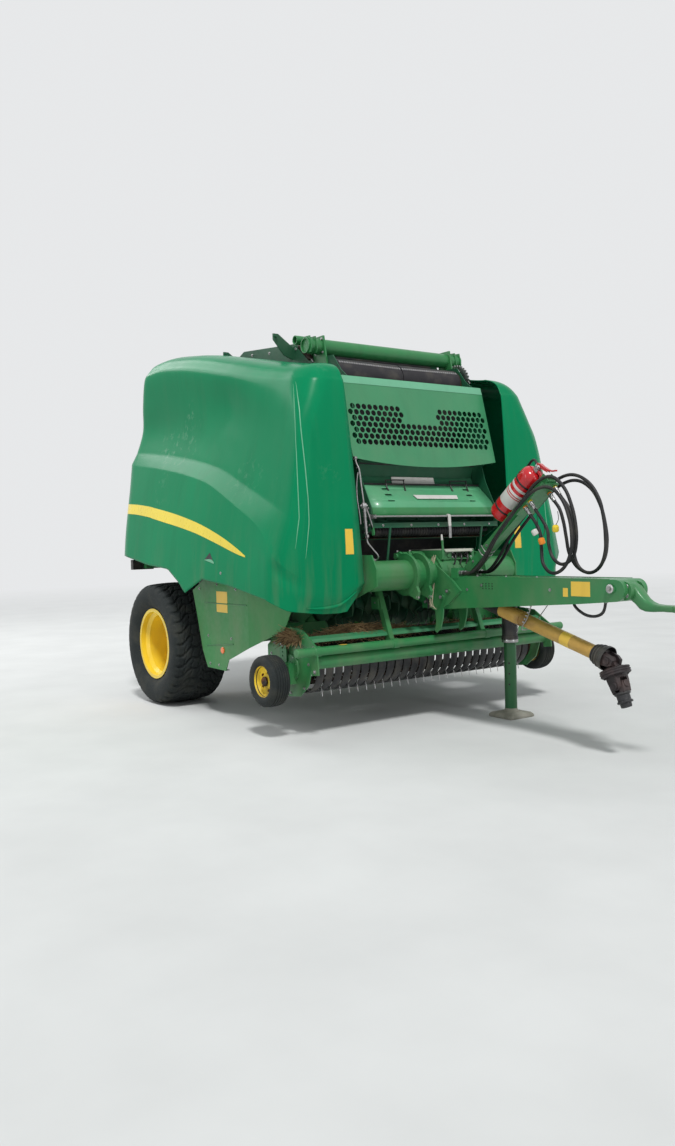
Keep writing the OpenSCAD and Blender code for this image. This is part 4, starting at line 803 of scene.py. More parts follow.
# Pale lines down the front corner's creases, painted highlights on the crease edges as well as wear:
# thickness, then height and x less y at each place
WORN_HIGHLIGHT_LINES = (
    (2.6, (
        (1265, 945), (1345, 965), (1445, 982), (1525, 997), (1715, 984), (1975, 965), (2200, 938),
        (2435, 903), (2545, 869),
    )),
    (3.2, (
        (1200, 1037), (1345, 1060), (1495, 1080), (1660, 1073), (1850, 1051), (2035, 1022), (2270, 983),
        (2465, 928), (2545, 887),
    )),
)


def clamped(value):
    """The value, kept from 0 to 1."""
    return max(0.0, min(1.0, value))


def flank_y(z):
    """Distance from the middle of the flank at a height, over the step."""
    return SHIELD_Y - FLANK_LEAN * clamped((z - LEAN_FROM) / LEAN_RISE) ** 1.6


def row_z(row, g):
    """Height of a row at an unrolled place."""
    crown = len(CROWN)
    top = lookup(g, SHIELD_TOP)
    if row < crown:
        return top - CROWN[row][0]
    if row <= STEP_ROW:
        shoulder = top - CROWN[-1][0]
        return shoulder + (lookup(g, STEP_UPPER) - shoulder) * UPPER_SHARES[row - crown]
    low = lookup(g, STEP_LOWER)
    return low + (straight(g, SHIELD_BOTTOM) - low) * LOWER_SHARES[row - STEP_ROW - 1]


def row_y(row, z):
    """Distance of a row from the middle at a height."""
    if row < len(CROWN):
        return CROWN[row][1]
    sunk = STEP_DEPTH * min(1, (row - len(CROWN) + 1) / 2) if row <= STEP_ROW else 0
    return flank_y(z) - sunk


def shield_point(row, kind, t):
    """The point of a row on a stretch of the outline, t of the way along it."""
    crown = row < len(CROWN)
    z_rear, z_front = row_z(row, REAR_PLACE), row_z(row, FRONT_PLACE)
    x_rear = CROWN[row][3] if crown else straight(z_rear, SHIELD_REAR)
    x_front = CROWN[row][2] if crown else straight(z_front, SHIELD_FRONT)
    y_rear, y_front = row_y(row, z_rear), row_y(row, z_front)
    y_in = 775 - 70 * clamped((2550 - z_front) / 1500)
    creased = not crown and row <= STEP_ROW + 1
    widest = CREASE_R * (1.5 if row > STEP_ROW else 1) if creased else FRONT_R
    r_rear, r_front = min(REAR_R, (y_rear - REAR_INNER) * 0.85), min(widest, (y_front - y_in) * 0.8)
    a = math.radians(90 * t)
    if kind == "side":
        x = x_rear + r_rear + (x_front - r_front - x_rear - r_rear) * t
        z = row_z(row, x)
        rear = y_rear - row_y(row, row_z(row, x_rear + r_rear))
        front = y_front - row_y(row, row_z(row, x_front - r_front))
        y = row_y(row, z) + rear * max(0.0, 1 - t / EASED) + front * max(0.0, (t - 1 + EASED) / EASED)
        return Vector((x, y, z))
    if kind == "rear face":
        x, y = x_rear, REAR_INNER + (y_rear - r_rear - REAR_INNER) * t
    elif kind == "rear corner":
        x, y = x_rear + r_rear * (1 - math.cos(a)), y_rear - r_rear * (1 - math.sin(a))
    elif kind == "front corner":
        run, deep = math.sin(a), 1 - math.cos(a)
        if creased:
            run, deep = (straight(t, [(k / 10, pair[i]) for k, pair in enumerate(CREASES)]) for i in (0, 1))
        x, y = x_front - r_front * (1 - run), y_front - r_front * deep
    else:
        x, y = x_front, y_front - r_front + (y_in - y_front + r_front) * t
    return Vector((x, y, row_z(row, x - (y_rear - y) if kind.startswith("rear") else x + (y_front - y))))


def shield_column(kind, t):
    """Points from top to bottom of one column: kind is the stretch it is on, t how far along."""
    points = [shield_point(row, kind, t) for row in range(ROWS)]
    upper, lower = points[: STEP_ROW + 1], points[STEP_ROW + 1 :]
    return smooth_line(upper, UPPER_STEPS) + smooth_line(lower, LOWER_STEPS)


def shield_grid():
    """Columns of points over the whole outer side of the left shield."""
    columns = [shield_column(kind, k / n) for kind, n in STRETCHES for k in range(n)]
    return columns + [shield_column("front face", 1.0)]


def on_shield(grid, column, z, lift):
    """The point at a height on a column of the grid, lifted off the surface outward."""
    points = grid[column]
    k = max(1, min(len(points) - 2, next((i for i, p in enumerate(points) if p.z <= z), len(points) - 1)))
    a, b = points[k - 1], points[k]
    here = a.lerp(b, (a.z - z) / (a.z - b.z) if a.z != b.z else 0.0)
    along = grid[min(column + 1, len(grid) - 1)][k] - grid[max(column - 1, 0)][k]
    return here + along.cross(b - a).normalized() * lift


def patch(s, grid, side, places, lift, parts=6):
    """A thin patch over a shield: its columns, each with the heights it runs between."""
    rings = []
    for c, low, high in places:
        heights = [low + (high - low) * k / parts for k in range(parts + 1)]
        outer, inner = ([on_shield(grid, c, z, d) for z in heights] for d in (lift, -0.5))
        rings.append(mirrored(outer + inner[::-1], side))
    s.skin(rings)
    return s


def shield_stripe(side, grid):
    """The stripe along the flank, a thin strip that follows the surface."""
    places = []
    for c, column in enumerate(grid):
        mid = column[STRIPE_POINT]
        g = mid.x - (1300 - mid.y if mid.x < 0 else 0)
        if -1000 <= g <= 1742 and mid.x <= 1800:
            places.append((c, lookup(g, STRIPE_LOWER), lookup(g, STRIPE_UPPER)))
    return patch(Shape("stripe"), grid, side, places, 1.6, 4)


def worn_highlight_line(grid, table):
    """Points on the shield at the heights and the x less y of a table."""
    line, count = [], 30
    for k in range(count):
        z = table[-1][0] + (table[0][0] - table[-1][0]) * k / (count - 1)
        across = [on_shield(grid, c, z, -1.2) for c in range(CORNER_COLUMN, len(grid) - 3)]
        aim = straight(z, table)
        for p, q in zip(across, across[1:]):
            if p.x - p.y <= aim < q.x - q.y:
                line.append(p.lerp(q, (aim - p.x + p.y) / (q.x - q.y - p.x + p.y)))
                break
    return line


def shield_marks(side, grid):
    """Blank plate, three-cornered vent with its screw, pale crease lines of painted highlight and wear, and
    the grip at the front.
    """
    s = Shape("decal")
    last = len(grid) - 1
    patch(s, grid, side, ((last - 2, 1271, 1447), (last - 1, 1271, 1447)), 1.4)
    # The vent: a dark triangle patch that paints the shade inside a sunk vent, a pale sill that paints the
    # light on its edge with some wear, and a screw ahead of it
    s.use("plastic")
    patch(s, grid, side, ((61, 1246, 1250), (63, 1232, 1302), (65, 1218, 1224)), 1.2)
    s.use("worn")
    patch(s, grid, side, ((61, 1246, 1249), (63, 1233, 1253), (64, 1226, 1250), (65, 1218, 1230)), 2.0)
    s.use("steel").bolt((1371, 1380 * side, 1150), (0, side, 0), 12, 5)
    # Pale lines along the corner's two creases: painted highlights on the crease edges, with wear
    s.use("worn")
    for r, table in WORN_HIGHLIGHT_LINES:
        s.pipe(mirrored(worn_highlight_line(grid, table), side), lambda t, r=r: 0.6 + r * min(1, 6 * t, 6 - 6 * t), 8)
    # The grip, a raised lip round a hollow
    lip = [on_shield(grid, last - 7 + k, z, 3.0) for k, z in enumerate((918, 910, 908, 912, 926, 962, 1010))]
    s.use("moulding").wire(mirrored(lip, side), lambda t: 3 + 9 * math.sin(math.pi * t), 10, 5)
    return s


class BALER_OT_shields(bpy.types.Operator):
    """Makes the moulded side shields with their step, creases and yellow stripe."""

    bl_idname = "baler.shields"
    bl_label = "Shields"

    def execute(self, context):
        grid = shield_grid()
        for name, side in SIDES:
            s = Shape("moulding")
            rows = s.skin([mirrored(column, side) for column in grid], around=False, caps=False)
            for row in (STEP_ROW * UPPER_STEPS, STEP_ROW * UPPER_STEPS + 1):
                for a, b in zip(rows, rows[1:]):
                    s.mesh.edges.get((a[row], b[row])).smooth = False
            body = "shield_%s_body" % name
            thicken(s.done("shield_moulding_" + name, body, "shield_" + name, sharp=50), "wall", 0.007)
            shield_stripe(side, grid).done("shield_stripe_" + name, body)
            shield_marks(side, grid).done("shield_marks_" + name, body)
        return {"FINISHED"}


# ---------------------------------------------------------------- wheels

# The main tyres' radius and distance from the middle
TYRE_R, TRACK = 520.0, 1110.0
# Half width of their tread, its blocks round the tyre, and columns of points to a block
TREAD_HALF, TREAD_BLOCKS, BLOCK_COLUMNS = 215, 34, 13
# Middle of the gauge wheels, and the hub's bolts' distance from it
GAUGE_X, GAUGE_Y, GAUGE_Z, GAUGE_BOLTS = 1930, 1320, 406, 66


def tread_depth(turn, y):
    """How far the main tyre's surface lies under its full radius, at a turn in radians."""
    across = abs(y)
    phase = TREAD_BLOCKS * turn / (2 * math.pi) + (0.0 if y > 0 else 0.5)
    lean = 1.25 * across / TREAD_HALF + 0.16 * math.sin(across / TREAD_HALF * 3 * math.pi)
    lug = (phase + lean) % 1.0
    wave = 9 * math.sin(2 * math.pi * (phase + lean))
    groove = min(abs(across - middle - wave) for middle in (30, 96, 158))
    depth = 11 * (1 - clamped(groove / 7)) if across < 206 else 0.0
    wide = 0.10 + 0.06 * across / TREAD_HALF
    edge = (min(lug, 1 - lug) - wide * 0.55) / (wide * 0.5)
    depth = max(depth, 15 * (1 - clamped(edge)))
    # Fine sipe down the middle of each lug
    depth = max(depth, 4 * (1 - clamped(abs(lug - 0.5) / 0.035)))
    return depth * clamped((246 - across) / 26)


def main_tyre(side):
    """A flotation tyre: lugs in wavy rows, bulged sidewalls and a bead."""
    s = Shape("tyre")
    centre = Vector((0, side * TRACK, TYRE_R))
    places = [k * 2 * TREAD_HALF / 62 - TREAD_HALF for k in range(63)]
    crown = [(TYRE_R - (abs(y) / TREAD_HALF) ** 2.4 * 13, y) for y in places]
    wall = [
        (499, 228), (488, 238), (470, 245), (445, 249), (415, 250), (385, 246), (355, 236), (330, 222),
        (316, 211), (308, 204), (300, 200), (288, 198), (284, 190),
    ]
    outside = [(r, -y) for r, y in reversed(wall)] + crown + wall
    inside = [(300, 150), (480, 205), (486, 0), (480, -205), (300, -150)]
    rings = []
    for t in turns(TREAD_BLOCKS * BLOCK_COLUMNS):
        ring = []
        for r, y in outside:
            if r > 466:
                r -= tread_depth(t, y)
            elif 320 < r < 345:
                r += 1.2 * math.sin(r * 0.5)
            ring.append((r, y))
        rings.append([centre + Vector((r * math.cos(t), y, r * math.sin(t))) for r, y in ring + inside])
    s.skin(rings, closed=True)
    return s


def rim_trim(side):
    """What sits on a rim: wheel nuts, hub cap and valve."""
    s = Shape("steel")
    hub = (0, side * (TRACK - 18), TYRE_R)
    s.bolt_circle(hub, 140, 10, 0.5, side, 24, 22)
    s.use("yellow").lathe([(70, 0), (70, 26), (62, 34), (30, 40), (8, 41)], hub, (0, side, 0), 40)
    valve = [(228, side * (TRACK + 168), TYRE_R + 70), (224, side * (TRACK + 196), TYRE_R + 68)]
    return s.use("plastic").pipe(valve, 6)


def gauge_wheel(side):
    """A small ribbed tyre on a pressed yellow rim with a brown hub."""
    s = Shape("tyre")
    centre, axis = (GAUGE_X, side * GAUGE_Y, GAUGE_Z), (0, side, 0)
    tread = []
    for k in range(-5, 6):
        y, r = k * 9.5, 181 - (abs(k) / 5) ** 2 * 5
        groove = 5 if k in (-4, -2, 0, 2, 4) else 0
        tread += [(r, y - 4.2), (r - groove, y - 2.6), (r - groove, y + 2.6), (r, y + 4.2)]
    wall = [(172, 60), (160, 71), (142, 75), (124, 72), (112, 64), (106, 56), (104, 48)]
    profile = [(r, -h) for r, h in reversed(wall)] + tread + wall + [(100, 0)]
    s.lathe(profile, centre, axis, 72, closed=True)
    rim = [
        (104, 52), (108, 60), (111, 60), (109, 48), (98, 34), (92, 22), (60, 18), (52, 27), (36, 30),
        (18.4, 30), (18.4, -30), (52, -30), (92, -26), (104, -46), (109, -60), (104, -58),
    ]
    s.use("hub_yellow").lathe(rim, centre, axis, 64, closed=True)
    s.use("rust").lathe([(17.8, 30), (34, 33), (34, 44), (26, 52), (10, 54)], centre, axis, 32)
    return s.bolt_circle((GAUGE_X, side * (GAUGE_Y + 18), GAUGE_Z), GAUGE_BOLTS, 5, 0, side, 13, 10)


class BALER_OT_wheels(bpy.types.Operator):
    """Makes the main tyres' tread, what sits on the rims, and the gauge wheels."""

    bl_idname = "baler.wheels"
    bl_label = "Wheels"

    def execute(self, context):
        for name, side in SIDES:
            main_tyre(side).done("flotation_tyre_" + name, "wheel_" + name, "tyre_" + name, sharp=48)
            rim_trim(side).done("wheel_nuts_" + name, "wheel_" + name, bevel=1.2)
            gauge_wheel(side).done("gauge_tyre_" + name, "gauge_" + name, "gauge_wheel_" + name, bevel=1.5)
        return {"FINISHED"}


# ---------------------------------------------------------------- net area and chamber front

# Half width of the net cover
NET_HALF = 599.0
# The net cover's bend, as x and z, and the height below which its vertical lip takes the darker frame paint
# as painted shade
COVER_LINE = (
    (2030, 1771), (2052, 1755), (2090, 1722), (2130, 1688), (2170, 1651), (2188, 1630), (2202, 1606),
    (2212, 1578), (2216, 1552), (2210, 1530),
)
COVER_PAINTED_SHADE_Z = 1598
# Rows of the sheet with slots, each row a step beside the one above; a slot's width and its first edges
SLOT_ROWS, SLOT_STEP, SLOT_WIDE, SLOT_EDGES = (4, 8, 12), 12, 62, (-400, 400)
# Middle of the upper front roller as x and z, and how far from it the belt's lacing lies
ROLLER, LACING_R, LACING_HOOKS = (1740, 2608), 121.4, 26


def body_of(node):
    """The body that a node of the frame rides on."""
    bodies = frame["record"]["behaviour"]["bodies"]
    return next(body for body, nodes in bodies.items() if node in nodes)


def net_cover_sheet():
    """The hinged cover: a bent sheet with turned-in ends and two groups of slots."""
    s = Shape("cover_paint")
    edges = [y - SLOT_STEP * k + w for y in SLOT_EDGES for k in range(3) for w in (0, SLOT_WIDE)]
    cuts = sorted({-NET_HALF, NET_HALF, *edges})
    fine = [(p.x, p.z) for p in smooth_line([(x, 0, z) for x, z in COVER_LINE], 3)]
    rows = [[s.mesh.verts.new(at(x, y, z)) for y in cuts] for x, z in fine]
    for i in range(len(rows) - 1):
        slots = [y - SLOT_STEP * SLOT_ROWS.index(i) for y in SLOT_EDGES] if i in SLOT_ROWS else []
        # Below that height the rows take the darker frame paint: painted shade on the vertical lip
        s.use("cover_paint" if fine[i][1] > COVER_PAINTED_SHADE_Z else "paint")
        for j in range(len(cuts) - 1):
            middle = (cuts[j] + cuts[j + 1]) / 2
            if not any(0 <= middle - y <= SLOT_WIDE for y in slots):
                s.face((rows[i][j], rows[i][j + 1], rows[i + 1][j + 1], rows[i + 1][j]))
    for side in (-1, 1):
        rims = [[(x - 16 * k, side * NET_HALF, z - 22 * k) for x, z in COVER_LINE] for k in (0, 1)]
        s.skin(rims, around=False, caps=False)
    return s


def cover_fittings():
    """Hinge rod, two wire handles and the blank plate of the net cover."""
    s = Shape("plastic")
    s.pipe([(2029, -603, 1776), (2029, 603, 1776)], 8, 12)
    for low, high in ((-352, -190), (280, 442)):
        s.wire([
            (2082, low, 1738), (2066, low, 1762), (2046, low + 8, 1798), (2042, low + 24, 1806),
            (2042, high + 8, 1808), (2048, high + 14, 1800), (2068, high + 4, 1760), (2084, high, 1738),
        ], 4.5, 8, 5)
        for y in (low, high):
            s.lathe([(9, 0), (9, 3), (6, 5)], (2082, y, 1729), (0.65, 0, 0.76), 14)
    plate = [(2136, -160, 1690), (2136, 272, 1690), (2168, 258, 1661), (2168, -146, 1661)]
    return s.use("label").slab(plate, (3, 0, 2))


def net_box_trim():
    """Blank plate, a pale strip of painted highlight on the grille's lit top fold, stiffening folds, bolts,
    cable and scraper of the net box.
    """
    s = Shape("label")
    s.slab([(1986, -236, 1768), (1986, 188, 1768), (1953, 196, 1836), (1953, -220, 1836)], (4, 0, 2))
    # The pale strip along the grille's top edge is painted highlight of its lit top fold, with some dust
    strip = [(1980, -698, 2563), (1980, 692, 2563), (1994, 700, 2508), (1994, -700, 2508)]
    s.use("worn").slab(strip, (3, 0, -1))
    s.use("old_paint")
    for z in (1500, 1712):
        s.pipe([(1990, -596, z), (1990, 596, z)], 7, 8)
    for y in (-560, -300, 0, 300, 560):
        s.box((1985, y - 5, 1510), (1997, y + 5, 1700))
    s.use("steel")
    for y in (-520, -260, 0, 260, 520):
        s.bolt((2230, y, 1467), AHEAD, 10, 7)
    for side in (-1, 1):
        s.side_bolts(side, 612, ((2000, 1920), (2060, 1890), (2000, 1400), (2190, 1470), (2180, 1590)), 12, 8)
    cable = [(2000, -590, 1930), (2004, -300, 1925), (2006, 0, 1931), (2004, 320, 1926), (2000, 588, 1932)]
    s.use("plastic").wire(cable, 6)
    # Scraper behind the ribbed roller
    return s.use("dark_steel").plate([(2050, 1392), (2096, 1372), (2098, 1376), (2052, 1398)], -590, 590)


def net_rods():
    """Brake and feed linkage: rods, knuckles, sleeve, lever, cross rod and its strap."""
    s = Shape("steel")
    s.pipe([(2262, -616, 1530), (2262, 616, 1530)], 7.5, 14)
    for side in (-1, 1):
        y = side * 614
        s.slab([(2188, y, 1513), (2276, y, 1516), (2276, y, 1544), (2188, y, 1547)], (0, 8 * side, 0))
        s.bolt((2262, side * 621, 1530), (0, side, 0), 13, 9)
    s.wire([
        (2142, -690, 1950), (2160, -690, 1908), (2184, -686, 1862), (2192, -678, 1760), (2196, -664, 1640),
        (2196, -662, 1622),
    ], 6.2, 10, 5)
    s.lathe([(9, -12), (13, -10), (13, 10), (9, 12)], (2142, -690, 1950), LEFT, 18)
    # Knuckle with its fork and pin
    knuckle, pin = (2196, -662, 1610), (0.3, 0.95, 0)
    s.lathe([(14, -17), (21, -14), (21, 14), (14, 17)], knuckle, pin, 22)
    s.lathe([(7, -26), (7, 26)], knuckle, pin, 12)
    s.pipe([(2197, -660, 1594), (2199, -646, 1404)], lambda t: 14 if 0.06 < t < 0.94 else 11, 16)
    for t in (0.1, 0.3, 0.5, 0.7, 0.9):
        x, y, z = 2197 + 2 * t, -660 + 14 * t, 1594 - 190 * t
        s.pipe([(x, y, z), (x, y + 0.6, z - 7)], 15.4, 16)
    s.wire([
        (2199, -645, 1400), (2200, -640, 1352), (2212, -604, 1300), (2226, -576, 1262), (2222, -566, 1236),
        (2206, -572, 1224), (2196, -592, 1220),
    ], 6, 8, 5)
    s.lathe([(10, -9), (16, -7), (16, 7), (10, 9)], (2199, -643, 1392), (0.2, 0.97, 0), 18)
    s.lathe([(8, -12), (15, -10), (15, 10), (8, 12)], (2196, -592, 1220), LEFT, 18)
    # Bent lever with a second rod behind the first
    s.wire([
        (2150, -646, 1610), (2178, -640, 1612), (2192, -630, 1576), (2214, -618, 1508), (2226, -604, 1440),
    ], 6, 8, 5)
    s.use("paint").plate([(2206, 1470), (2224, 1474), (2240, 1420), (2236, 1400), (2218, 1398)], -612, -602)
    rod = [(2186, -700, 1846), (2176, -706, 1760), (2170, -700, 1660), (2180, -690, 1560), (2184, -684, 1480)]
    s.use("steel").wire(rod, 5, 8, 5)
    # Pale strap over the cross rod, folded down in two lengths
    s.use("label").skin([
        [(2272, 58, 1542), (2272, 84, 1542), (2254, 84, 1545), (2254, 58, 1545)],
        [(2274, 60, 1530), (2274, 86, 1530), (2268, 86, 1530), (2268, 60, 1530)],
        [(2272, 66, 1455), (2272, 92, 1455), (2266, 92, 1455), (2266, 66, 1455)],
    ])
    s.use("steel").skin([
        [(2273, 67, 1457), (2273, 91, 1457), (2265, 91, 1457), (2265, 67, 1457)],
        [(2268, 72, 1366), (2268, 96, 1366), (2261, 96, 1366), (2261, 72, 1366)],
    ])
    return s


def roller_trim():
    """Rusty ends of three rollers, and the belt's lacing on the upper one."""
    s = Shape("rust")
    for x, z, r in ((*ROLLER, 112), (1500, 1180, 80), (300, 2560, 80)):
        ring = [(r - 14, 597), (r + 1.5, 597), (r + 1.5, 611), (r - 14, 611)]
        for side in (-1, 1):
            s.lathe(ring, (x, 0, z), (0, side, 0), 48)
    s.use("steel")
    for side in (-1, 1):
        for k in range(LACING_HOOKS):
            y = side * (16 + k * 22.4)
            for turn in (0.0, 0.055):
                a = math.radians(38) + turn + 0.10 * (k / LACING_HOOKS)
                x, z = ROLLER[0] + LACING_R * math.cos(a), ROLLER[1] + LACING_R * math.sin(a)
                hook = ((-4, -7, 4), (-4, 7, 4), (3, 7, -5), (3, -7, -5))
                s.slab([(x + dx, y + dy, z + dz) for dx, dy, dz in hook], (1.6, 0, 1.6))
    return s


def top_frame_trim():
    """Coil spring, bolts and stops on the upper frame, and the dark roller behind its tube, which also stands
    in for the shade there.
    """
    s = Shape("belt")
    roller, coils, steps = (1432, 0, 2794), 15, 12
    # The belt-covered roller behind the tube: dark rubber, and also painted shade that fills the shaded gap
    # behind the tube
    s.lathe([(66, -594), (66, -6), (62, -4), (62, 4), (66, 6), (66, 594)], roller, LEFT, 40)
    s.use("dark_steel").lathe([(18, -612), (18, 612)], roller, LEFT, 16)
    coil = []
    for k in range(coils * steps + 1):
        t, a = k / (coils * steps), 2 * math.pi * k / steps
        middle = Vector((1424, -664, 2872)).lerp(Vector((1552, -650, 2756)), t)
        coil.append(middle + Vector((0.67, 0, 0.74)) * (19 * math.cos(a)) + Vector((0, 19, 0)) * math.sin(a))
    s.pipe(coil, 3.6, 7)
    s.use("steel")
    s.pipe([(1396, -667, 2898), (1426, -664, 2870)], 5, 8)
    s.pipe([(1550, -650, 2758), (1584, -648, 2726)], 5, 8)
    stop = [(1440, 2800), (1560, 2740), (1610, 2700), (1560, 2690), (1440, 2770)]
    beam = ((1300, 2873), (1180, 2883), (900, 2913), (620, 2946), (300, 2888), (150, 2748))
    for side in (-1, 1):
        s.use("steel").side_bolts(side, 634, ((1600, 2780), (1690, 2780), (1600, 2895), (1680, 2880)), 14, 9)
        s.side_bolts(side, 620, beam, 13, 8)
        s.use("old_paint").plate(stop, side * 622 - 5, side * 622 + 5)
    return s


class BALER_OT_front(bpy.types.Operator):
    """Makes the net cover, its linkage and what shows round the chamber's front rollers."""

    bl_idname = "baler.front"
    bl_label = "Front of the chamber"

    def execute(self, context):
        lid = body_of("net_cover")
        thicken(net_cover_sheet().done("net_cover_sheet", lid, "net_cover", sharp=40), "sheet", 0.004)
        cover_fittings().done("net_cover_fittings", lid)
        net_box_trim().done("net_box_trim", "chassis", bevel=0.8)
        net_rods().done("net_brake_linkage", "chassis", "net_linkage", bevel=0.8)
        roller_trim().done("roller_trim", "chassis")
        top_frame_trim().done("top_frame_trim", "chassis", bevel=0.8)
        return {"FINISHED"}


# ---------------------------------------------------------------- gearbox, drawbar and hitch

# Half width of the beam, and of the cheeks at its rear end
BEAM_HALF, CHEEK_HALF = 110, 146


def gearbox_trim():
    """Casting ribs, flange bolts, control box lid, sockets, lever and the collars' bolts."""
    s = Shape("paint")
    for x, z, r in ((2170, 1120, 70), (2278, 1000, 46)):
        cover = [(r, -8), (r, 4), (r - 5, 9), (r * 0.55, 10), (r * 0.5, 16), (0.5, 16)]
        s.lathe(cover, (x, -104, z), (0, -1, 0), 40)
    # Cast pipe stub between the collar and the housing
    s.lathe([(34, 0), (34, 130), (30, 138), (24, 140)], (2158, -250, 1240), LEFT, 28)
    s.lathe([(25, -8), (29, -4), (29, 6), (25, 8)], (2158, -330, 1240), LEFT, 28)
    s.use("worn_box").plate([(1962, 1277), (2334, 1277), (2334, 1283), (1962, 1283)], -73, 253)
    s.plate([(2334, 1277), (2352, 1262), (2354, 1267), (2334, 1283)], -40, 230)
    s.use("plastic")
    for y, wide in ((60, 46), (118, 34), (180, 40)):
        r = wide / 2
        s.lathe([(r, 0), (r, 13), (r - 5, 14), (r - 6, 4), (1, 4)], (2322, y, 1240), AHEAD, 26)
        s.wire([(2330, y, 1240), (2350, y - 4, 1236), (2362, y - 14, 1206), (2356, y - 26, 1170)], 6, 8, 4)
    s.use("steel")
    for y, z in ((40, 1262), (222, 1262), (40, 1222), (222, 1222)):
        s.bolt((2336, y, z), AHEAD, 9, 6)
    s.bolt_circle((2170, -112, 1120), 58, 8, 0.5, -1, 11, 8)
    for side in (-1, 1):
        for y in (216, 333):
            s.bolt((2150, side * y, 1270), (0.1, 0, 1), 15, 14)
            s.bolt((2372, side * y, 950), (1, 0, -0.3), 15, 14)
        s.use("paint")
        for y in (205, 227, 322, 344):
            s.lathe([(150, -2), (154, 0), (150, 2)], (2240, side * y, 1108), LEFT, 56, closed=True)
        s.use("steel")
    # Lever with its pale grip
    s.use("paint").pipe([(2342, -60, 1210), (2342, -60, 1300), (2336, -60, 1352)], lambda t: 10 - 3 * t, 12)
    return s.use("label").pipe([(2336, -60, 1350), (2332, -60, 1392)], lambda t: 8.4 - 2 * t, 12)


def twine():
    """Loose ends of pale twine and a wrapped plug, caught on the drawbar's cheek."""
    s = Shape("twine")
    for k in range(9):
        a, b, c = seeded(k, 1), seeded(k, 2), seeded(k, 3)
        x, y = 2262 + 60 * a, -126 - 5 * b
        s.wire([
            (x + 26, y + 2, 1216 + 30 * c), (x + 8 - 16 * b, y - 2, 1160), (x - 24 + 40 * c, y - 4, 1092),
            (x - 42 + 62 * a, y - 5, 1020), (x - 36 + 44 * b, y - 4, 944 - 60 * c),
            (x - 30 + 60 * c, y - 2, 880 - 40 * a),
        ], 1.9, 6, 6)
    for k in range(4):
        s.wire([
            (2196 + 4 * k, -128, 1046 + 9 * k), (2216, -146 - 3 * k, 1064 + 6 * k),
            (2254, -144, 1052 + 8 * k), (2268, -128, 1028 + 7 * k),
        ], 3.2, 6, 5)
    plug = [(22, 0), (25, 4), (25, 26), (20, 30), (15, 31), (14, 12), (1, 12)]
    s.use("plastic").lathe(plug, (2222, -122, 1016), (0, -1, 0), 24)
    return s.wire([(2226, -140, 1000), (2240, -150, 950), (2262, -146, 900), (2250, -132, 850)], 6, 8, 5)


def drawbar_trim():
    """Bolts, washers, blank plates, small fixings and weld lines on the drawbar."""
    s = Shape("steel")
    for side in (-1, 1):
        face, out = side * (BEAM_HALF + 0.2), (0, side, 0)
        s.side_bolts(side, CHEEK_HALF, ((2230, 900), (2230, 1180), (2470, 985), (2400, 940)), 15, 10)
        s.side_bolts(side, BEAM_HALF, ((2647, 1000), (2789, 1034), (3415, 1019)), 11, 7)
        s.use("washer").lathe([(27, 0), (27, 4), (24, 6), (12, 6)], (3893, side * 120, 1040), out, 30)
        s.use("steel").bolt((3893, side * 125, 1040), out, 19, 12)
        s.use("plastic")
        for x in (2806, 2836, 2866, 2896):
            for z in (1046, 1029, 1012):
                s.lathe([(4.6, 0), (4.6, 1.6), (3, 2)], (x, side * BEAM_HALF, z), out, 10)
        # Weld bead along the cheek's edge
        bead = ((2483, 1078), (2534, 1035), (2588, 990), (2526, 938), (2468, 890))
        s.use("paint").pipe([(x, side * 112, z) for x, z in bead], 5, 8)
        s.use("decal")
        for x0, x1, z0, z1 in ((3588, 3737, 986, 1077), (3523, 3562, 980, 1035)):
            s.box((x0, face - 0.6, z0), (x1, face + 0.9, z1))
        s.use("steel")
    for x in (2700, 2980, 3260, 3560):
        s.bolt((x, -62, 1092), UP, 11, 7)
    s.use("paint")
    for y in (-108, 108):
        s.pipe([(2610, y, 1091), (3880, y, 1094)], 3.2, 6)
    # Pipe bent under the beam
    s.use("hose").wire([
        (3572, -70, 962), (3586, -78, 926), (3630, -82, 892), (3692, -84, 868), (3762, -84, 868),
        (3812, -82, 896), (3828, -76, 962),
    ], 9.5, 10, 7)
    s.use("steel")
    for end in ((3572, -70, 946), (3828, -76, 950)):
        s.lathe([(12, 0), (12, 16), (9, 20)], end, UP, 6)
    return s


# Place, lower and upper edge and half width of the hitch tongue's shank
TONGUE = (
    (3943, 975, 1082, 46), (3966, 973, 1078, 46), (4007, 945, 1058, 45), (4036, 916, 1022, 43),
    (4070, 905, 984, 39), (4100, 905, 964, 36), (4130, 906, 952, 35), (4165, 909, 948, 38),
    (4200, 911, 947, 43), (4245, 911, 947, 50), (4275, 912, 946, 50),
)


def tongue():
    """The cast hitch tongue: a shank that narrows and bends down to its eye."""
    s = Shape("paint")
    rings = []
    for x, low, high, half in TONGUE:
        middle, tall = (low + high) / 2, (high - low) / 2
        rings.append([(x, y, middle + z) for y, z in rounded_ring(half, tall, min(half, tall) * 0.62, 28)])
    s.skin(rings)
    eye = [(25.6, -15), (29, -18.5), (49, -18.5), (55, -13), (55, 13), (49, 18.5), (29, 18.5), (25.6, 15)]
    s.lathe(eye, (4295, 0, 929), UP, 56, closed=True)
    cheek = [
        (3945, 972), (3945, 1086), (3972, 1082), (3998, 1070), (4012, 1046), (4014, 1010), (4002, 980),
        (3975, 970),
    ]
    for side in (-1, 1):
        s.plate(cheek, side * 59 - 15, side * 59 + 15)
    s.use("steel")
    for side in (-1, 1):
        s.side_bolts(side, 74, ((3974, 1000), (3974, 1052)), 17, 12)
    return s


def on_rack(finish):
    """A shape drawn along the hose rack: X runs up it from its foot."""
    return Shape(finish).put(2540, 0, 1078, -38.61)


